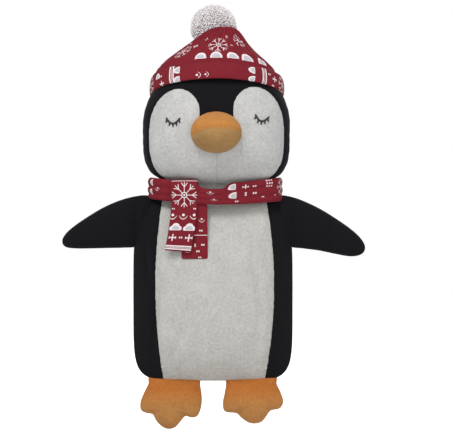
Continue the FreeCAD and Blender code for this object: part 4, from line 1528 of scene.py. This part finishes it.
def make_band():
    """The scarf round the neck: a strip folded lengthwise, with soft creases along it."""
    columns = 220
    # Out from the band's face and share of its height, from the hidden edge over the top and down.
    profile = (
        (-4.0, 0.3), (-4.2, 0.6), (-3.8, 0.88), (-2.4, 0.985), (-0.6, 0.99), (0.8, 0.9), (1.3, 0.78),
        (0.4, 0.67), (-0.3, 0.62), (0.9, 0.55), (1.5, 0.44), (0.8, 0.33), (-0.4, 0.27), (0.7, 0.2),
        (1.2, 0.1), (0.2, 0.02), (-1.4, 0.0), (-3.2, 0.08), (-3.8, 0.25),
    )
    length = ellipse_round(BAND_HALF, BAND_DEPTH)
    run = [0.0]
    for (out_a, up_a), (out_b, up_b) in zip(profile, profile[1:]):
        run.append(run[-1] + math.hypot(out_b - out_a, (up_b - up_a) * 27) * MM)
    points = []
    for out, up in profile:
        ring = []
        for j in range(columns):
            turn = round_turn(j, columns)
            spot = (math.cos(turn), math.sin(turn), 0.0)
            crease = 1 + 0.5 * ripple(spot, 2.4, 71)
            shift = 0.07 * ripple((spot[0], spot[1], up), 2.0, 72) * math.sin(math.pi * up)
            reach = (out * crease + 0.8 * ripple(spot, 3.1, 73)) * MM
            x = (BAND_HALF + reach) * math.cos(turn)
            y = (BAND_DEPTH + reach) * math.sin(turn)
            foot, top = band_edges(x, min(1.0, max(0.0, -3 * math.sin(turn))))
            x += BAND_SHIFT * (0.5 - x / BAND_HALF / 2)
            ring.append(Vector((x, MIDDLE + y, foot + (top - foot) * (up + shift))))
        points.append(ring)
    obj = grid_object(
        "scarf_band_cloth", points,
        lambda i, j: ((j / columns - 0.5) * length, run[-1] - run[i]), closed=True,
    )
    thicken(obj, sizes().jersey, -1)
    subdivide(obj)
    material = printed_jersey("band")
    finish_piece(obj, material, "torso", ["scarf_band"])


FRONT_TAIL, REAR_TAIL = "scarf_tail_front", "scarf_tail_rear"
TAIL_HALF = 14.3 * MM


def strip(name, line, half, columns, swing, thickness, start_run):
    """A flat strip whose middle follows line, (x, y, z, outward) points; swing tilts its rows."""
    run = [start_run]
    for first, second in zip(line, line[1:]):
        run.append(run[-1] + (Vector(first[:3]) - Vector(second[:3])).length)
    points = []
    for i, (x, y, z, outward) in enumerate(line):
        row = []
        for j in range(columns):
            across = (j / (columns - 1) * 2 - 1) * half
            wave = 0.5 * MM * ripple((across * 40, run[i] * 30, half * 90), 1.0, 81)
            curl = 0.5 * MM * (across / half) ** 4
            out = Vector(outward) * (wave - curl)
            row.append(Vector((x + across * math.cos(swing), y, z - across * math.sin(swing))) + out)
        points.append(row)
    obj = grid_object(
        name, points, lambda i, j: ((j / (columns - 1) * 2 - 1) * half, run[i])
    )
    recalculate(obj)
    thicken(obj, thickness, 0)
    subdivide(obj)
    return obj, run


def recalculate(obj):
    """Turns a sheet so that its faces look to the front."""
    mesh = bmesh.new()
    mesh.from_mesh(obj.data)
    bmesh.ops.recalc_face_normals(mesh, faces=mesh.faces)
    if sum((face.normal.y for face in mesh.faces)) > 0:
        bmesh.ops.reverse_faces(mesh, faces=mesh.faces)
    mesh.to_mesh(obj.data)
    mesh.free()


def make_front_end():
    """The scarf's front end: it comes over the band from behind and hangs down the belly."""
    hinge = pivot("scarf_front_lift")
    x = -31.0 * MM
    face = MIDDLE - math.sqrt(1 - (x / BAND_HALF) ** 2) * BAND_DEPTH - 2.6 * MM
    top = band_edges(x)[1] + 1.8 * MM
    front_y = hinge.y + 0.4 * MM
    over = [
        (x + 1 * MM, face + 9.5 * MM, top - 9 * MM, (0, 1, 0)),
        (x + 1 * MM, face + 9.0 * MM, top - 4 * MM, (0, 1, 0)),
        (x + 0.6 * MM, face + 6.5 * MM, top - 0.6 * MM, (0, 0.6, 0.8)),
        (x + 0.4 * MM, face + 3.5 * MM, top + 0.4 * MM, (0, 0, 1)),
        (x + 0.2 * MM, face + 0.8 * MM, top - 1.2 * MM, (0, -0.7, 0.7)),
        (x, face - 0.6 * MM, top - 5 * MM, (0, -1, 0)),
        (x, face - 1.0 * MM, top - 11 * MM, (0, -1, 0)),
        (x, face - 0.8 * MM, top - 17 * MM, (0, -1, 0)),
        (x, (face + front_y) / 2, hinge.z + 4 * MM, (0, -1, 0)),
        (x, front_y, hinge.z - 0.4 * MM, (0, -1, 0)),
    ]
    length_up = sum((Vector(a[:3]) - Vector(b[:3])).length for a, b in zip(over, over[1:]))
    foot = low(FRONT_TAIL).z + 1.0 * MM
    hanging = []
    steps = 16
    for i in range(steps + 1):
        share = i / steps
        z = hinge.z + (foot - hinge.z) * share
        sway = -7.4 * MM * share**1.6
        bow = -1.6 * MM * math.sin(math.pi * share)
        hanging.append((x + sway, front_y + bow, z, (0, -1, 0)))
    hang_length = hinge.z - foot
    # The print runs up from the hem, so that its stripes lie by the hem.
    flip = [tuple(p) for p in reversed(hanging)]
    tail, run = strip("scarf_front_cloth", flip, TAIL_HALF, 15, 0.0, 1.8 * MM, 0.0)
    slant_foot(tail, foot, 2.4 * MM)
    material = printed_jersey("front end")
    finish_piece(tail, material, "scarf_front", [FRONT_TAIL])
    wrap, wrap_run = strip(
        "scarf_wrap_cloth", [tuple(p) for p in reversed(over)], TAIL_HALF, 15, 0.0, 1.8 * MM, run[-1]
    )
    finish_piece(wrap, material, "torso", ["scarf_wrap"])
    wrap_run[-1] - run[-1]
    return hang_length + length_up


def slant_foot(obj, foot, drop):
    """Lets the hem of a hanging end run askew, lower towards the body's middle."""
    for vert in obj.data.vertices:
        share = max(0.0, 1 - (vert.co.z - foot) / (14 * MM))
        middle = -38 * MM
        vert.co.z -= drop * share * (vert.co.x - middle) / TAIL_HALF * 0.5


def make_rear_end():
    """The scarf's rear end: it comes out under the band and hangs behind the front end."""
    foot, top = low(REAR_TAIL).z, BAND_LOW.z + 6 * MM
    x = -20.5 * MM
    back_y = MIDDLE - BODY_DEPTH - 3.2 * MM
    line = []
    steps = 18
    for i in range(steps + 1):
        share = i / steps
        z = foot + (top - foot) * share
        sway = (1 - share) * 0.8 * MM
        line.append((x + sway, back_y - 1.2 * MM * share, z, (0, -1, 0)))
    tail, run = strip("scarf_rear_cloth", line, TAIL_HALF, 15, 0.0, 1.8 * MM, 0.0)
    material = printed_jersey("rear end")
    hinge = pivot("scarf_rear_lift")
    bend = ("torso", "scarf_rear", (x, back_y, hinge.z + 4 * MM), (x, back_y, hinge.z - 8 * MM))
    finish_piece(tail, material, bend, [REAR_TAIL])


# ---------------------------------------------------------------- stitching


def stitch_tree():
    """Short stitches set across or along a line: spacing, length, thickness and turn are inputs."""
    name = "Stitch row"
    if name in bpy.data.node_groups:
        return bpy.data.node_groups[name]
    tree, given, made = new_tree(
        "GeometryNodeTree",
        name,
        (
            ("Geometry", "NodeSocketGeometry", None),
            ("Spacing", "NodeSocketFloat", 0.001),
            ("Length", "NodeSocketFloat", 0.001),
            ("Thickness", "NodeSocketFloat", 0.0005),
            ("Turn", "NodeSocketFloat", 0.0),
            ("Material", "NodeSocketMaterial", None),
        ),
        (("Geometry", "NodeSocketGeometry"),),
    )
    link = tree.links.new
    add = tree.nodes.new
    line = add("GeometryNodeMeshToCurve")
    link(given.outputs["Geometry"], line.inputs["Mesh"])
    spots = add("GeometryNodeCurveToPoints")
    spots.mode = "LENGTH"
    link(line.outputs[0], spots.inputs["Curve"])
    link(given.outputs["Spacing"], spots.inputs["Length"])
    ball = add("GeometryNodeMeshUVSphere")
    ball.inputs["Segments"].default_value = 6
    ball.inputs["Rings"].default_value = 5
    ball.inputs["Radius"].default_value = 0.5
    put = add("GeometryNodeInstanceOnPoints")
    link(spots.outputs["Points"], put.inputs["Points"])
    link(ball.outputs["Mesh"], put.inputs["Instance"])
    link(spots.outputs["Rotation"], put.inputs["Rotation"])
    shape = add("ShaderNodeCombineXYZ")
    link(given.outputs["Thickness"], shape.inputs[0])
    link(given.outputs["Thickness"], shape.inputs[1])
    link(given.outputs["Length"], shape.inputs[2])
    turned = add("GeometryNodeRotateInstances")
    angle = add("ShaderNodeCombineXYZ")
    link(given.outputs["Turn"], angle.inputs[1])
    link(put.outputs[0], turned.inputs["Instances"])
    link(angle.outputs[0], turned.inputs["Rotation"])
    sized = add("GeometryNodeScaleInstances")
    link(turned.outputs[0], sized.inputs["Instances"])
    link(shape.outputs[0], sized.inputs["Scale"])
    real = add("GeometryNodeRealizeInstances")
    link(sized.outputs[0], real.inputs[0])
    colour = add("GeometryNodeSetMaterial")
    link(real.outputs[0], colour.inputs["Geometry"])
    link(given.outputs["Material"], colour.inputs["Material"])
    link(colour.outputs[0], made.inputs[0])
    return tree


def polyline(name, lines):
    """A mesh of bare edges through each list of points, for a tree that follows it."""
    data = bpy.data.meshes.new(name)
    verts, edges = [], []
    for line in lines:
        start = len(verts)
        verts.extend(line)
        edges.extend((start + k, start + k + 1) for k in range(len(line) - 1))
    data.from_pydata([tuple(v) for v in verts], edges, [])
    return new_object(name, data)


def surface_y(objects, x, z, fallback):
    """The front surface's depth at this place, found by looking straight back at the pieces."""
    hits = [obj.ray_cast(Vector((x, -0.3, z)), Vector((0, 1, 0))) for obj in objects]
    return min((point.y for hit, point, _, _ in hits if hit), default=fallback)


def make_eyes():
    """Closed eyes in satin stitch: a shallow lid line with short lashes below it."""
    faces = [bpy.data.objects["face_cloth_left"], bpy.data.objects["face_cloth_right"]]
    bpy.context.view_layer.update()
    # The middle of each lid line across and up, and how much it is turned.
    eyes = {"left": (-43.2, 334.4, 0.04), "right": (52.6, 337.0, 0.16)}
    material = thread_material("eye thread", tuple(colours().thread))
    for side, (centre_x, centre_z, turn) in eyes.items():
        lid, lashes = [], []

        def on_face(across, up):
            """A point just proud of the face cloth, by the eye's own axes in millimetres."""
            x = (centre_x + across * math.cos(turn) + up * math.sin(turn)) * MM
            z = (centre_z - across * math.sin(turn) + up * math.cos(turn)) * MM
            y = surface_y(faces, x, z, MIDDLE - HEAD_DEPTH)
            return Vector((x, y - 0.3 * MM, z))

        half, dip = 7.1, 5.4
        steps = 28
        for k in range(steps + 1):
            across = -half + 2 * half * k / steps
            lid.append(on_face(across, dip * (across / half) ** 2))
        for across in (-6.5, -3.3, 0.2, 3.6, 6.5):
            foot = dip * (across / half) ** 2
            lean = across / half * 1.3
            lashes.append([on_face(across + lean * s / 4, foot - 1.05 * s) for s in range(4)])
        obj = polyline(f"eye_thread_{side}", [lid])
        tree = stitch_tree()
        run_tree(
            obj, tree, Spacing=0.34 * MM, Length=2.6 * MM, Thickness=2.1 * MM, Turn=1.0, Material=material
        )
        extra = polyline(f"eye_lash_{side}", lashes)
        run_tree(
            extra, tree, Spacing=0.45 * MM, Length=1.9 * MM, Thickness=1.8 * MM, Turn=0.0, Material=material
        )
        join(obj, [extra])
        finish_piece(obj, material, "head", [f"eye_stitching_{side}"])


def join(obj, others):
    """Joins other pieces' meshes into one piece."""
    mesh = bmesh.new()
    mesh.from_mesh(obj.data)
    for other in others:
        mesh.from_mesh(other.data)
        bpy.data.objects.remove(other)
    mesh.to_mesh(obj.data)
    mesh.free()


# ---------------------------------------------------------------- stage


def make_stage():
    """A plain pale floor, soft light from all round, and the camera in front."""
    scene = bpy.context.scene
    material, tree, shader = new_material("pale floor")
    shader.inputs["Base Color"].default_value = (*colours().floor, 1)
    shader.inputs["Roughness"].default_value = 0.9
    # The floor looks white to the camera without throwing more light on the toy.
    seen = tree.nodes.new("ShaderNodeLightPath").outputs["Is Camera Ray"]
    shader.inputs["Emission Color"].default_value = (1, 1, 1, 1)
    tree.links.new((Flow(tree, seen) * 0.66).socket, shader.inputs["Emission Strength"])
    mesh = bmesh.new()
    bmesh.ops.create_grid(mesh, x_segments=8, y_segments=8, size=4.0)
    data = bpy.data.meshes.new("floor")
    mesh.to_mesh(data)
    mesh.free()
    floor = new_object("floor", data)
    floor.data.materials.append(material)
    world = bpy.data.worlds.new("soft sky")
    scene.world = world
    world.use_nodes = True
    sky = world.node_tree.nodes["Background"]
    sky.inputs["Color"].default_value = (1.0, 1.0, 1.0, 1)
    direct = world.node_tree.nodes.new("ShaderNodeLightPath").outputs["Is Camera Ray"]
    strength = Flow(world.node_tree, direct) * 0.5 + 0.5
    world.node_tree.links.new(strength.socket, sky.inputs["Strength"])
    lamps = (
        ("key", (-0.6, -1.4, 1.9), 0.9, 34.0),
        ("fill", (1.3, -1.4, 0.9), 1.3, 9.0),
        ("back", (0.3, 1.6, 1.4), 1.2, 14.0),
    )
    aim = Vector((0, 0, 0.24))
    for name, place, size, power in lamps:
        light = bpy.data.lights.new(name, "AREA")
        light.shape = "DISK"
        light.size = size
        light.energy = power
        lamp = new_object(name, light)
        lamp.location = place
        lamp.rotation_euler = (aim - Vector(place)).to_track_quat("-Z", "Y").to_euler()
    camera = bpy.data.cameras.new("camera")
    distance = sizes().camera_distance
    seen = 0.4983  # width of the view at the penguin's middle
    camera.sensor_width = 36
    camera.lens = camera.sensor_width * distance / seen
    camera.clip_end = 20
    eye = new_object("camera", camera)
    eye.location = (0.01485, MIDDLE - distance, 0.2299)
    eye.rotation_euler = (math.pi / 2, 0, 0)
    scene.camera = eye
    scene.view_settings.view_transform = "Standard"


# ---------------------------------------------------------------- operators


class PENGUIN_OT_stage(bpy.types.Operator):
    """Set up the floor, the light and the camera"""

    bl_idname = "penguin.stage"
    bl_label = "Stage"

    def execute(self, context):
        make_stage()
        return {"FINISHED"}


class PENGUIN_OT_body(bpy.types.Operator):
    """Sew the flat body and the neck"""

    bl_idname = "penguin.body"
    bl_label = "Body"

    def execute(self, context):
        make_body()
        make_neck()
        return {"FINISHED"}


class PENGUIN_OT_head(bpy.types.Operator):
    """Sew the head, the beak and the closed eyes"""

    bl_idname = "penguin.head"
    bl_label = "Head"

    def execute(self, context):
        make_head()
        make_beak()
        make_eyes()
        return {"FINISHED"}


class PENGUIN_OT_limbs(bpy.types.Operator):
    """Sew the wings and the feet"""

    bl_idname = "penguin.limbs"
    bl_label = "Wings and feet"

    def execute(self, context):
        for side in ("left", "right"):
            make_wing(side)
            make_foot(side)
        return {"FINISHED"}


class PENGUIN_OT_hat(bpy.types.Operator):
    """Make the hat and its pompom"""

    bl_idname = "penguin.hat"
    bl_label = "Hat"

    def execute(self, context):
        make_crown()
        make_cuff()
        make_pompom()
        return {"FINISHED"}


class PENGUIN_OT_scarf(bpy.types.Operator):
    """Wrap the scarf and hang its two ends"""

    bl_idname = "penguin.scarf"
    bl_label = "Scarf"

    def execute(self, context):
        make_band()
        make_front_end()
        make_rear_end()
        return {"FINISHED"}


OPERATORS = (
    PENGUIN_OT_stage,
    PENGUIN_OT_body,
    PENGUIN_OT_head,
    PENGUIN_OT_limbs,
    PENGUIN_OT_hat,
    PENGUIN_OT_scarf,
)


class PENGUIN_PT_panel(bpy.types.Panel):
    """Lists the pieces and their settings"""

    bl_idname = "PENGUIN_PT_panel"
    bl_label = "Plush penguin"
    bl_space_type = "VIEW_3D"
    bl_region_type = "UI"
    bl_category = "Penguin"

    def draw(self, context):
        layout = self.layout
        for operator in OPERATORS:
            layout.operator(operator.bl_idname)
        for settings in (context.scene.penguin_sizes, context.scene.penguin_colours):
            for name in settings.__annotations__:
                layout.prop(settings, name)


CLASSES = (PenguinColours, PenguinSizes, *OPERATORS, PENGUIN_PT_panel)


def register():
    for item in CLASSES:
        bpy.utils.register_class(item)
    bpy.types.Scene.penguin_sizes = bpy.props.PointerProperty(type=PenguinSizes)
    bpy.types.Scene.penguin_colours = bpy.props.PointerProperty(type=PenguinColours)


def unregister():
    del bpy.types.Scene.penguin_colours
    del bpy.types.Scene.penguin_sizes
    for item in reversed(CLASSES):
        bpy.utils.unregister_class(item)


def main():
    register()
    for operator in OPERATORS:
        group, name = operator.bl_idname.split(".")
        getattr(getattr(bpy.ops, group), name)()


if __name__ == "__main__":
    main()
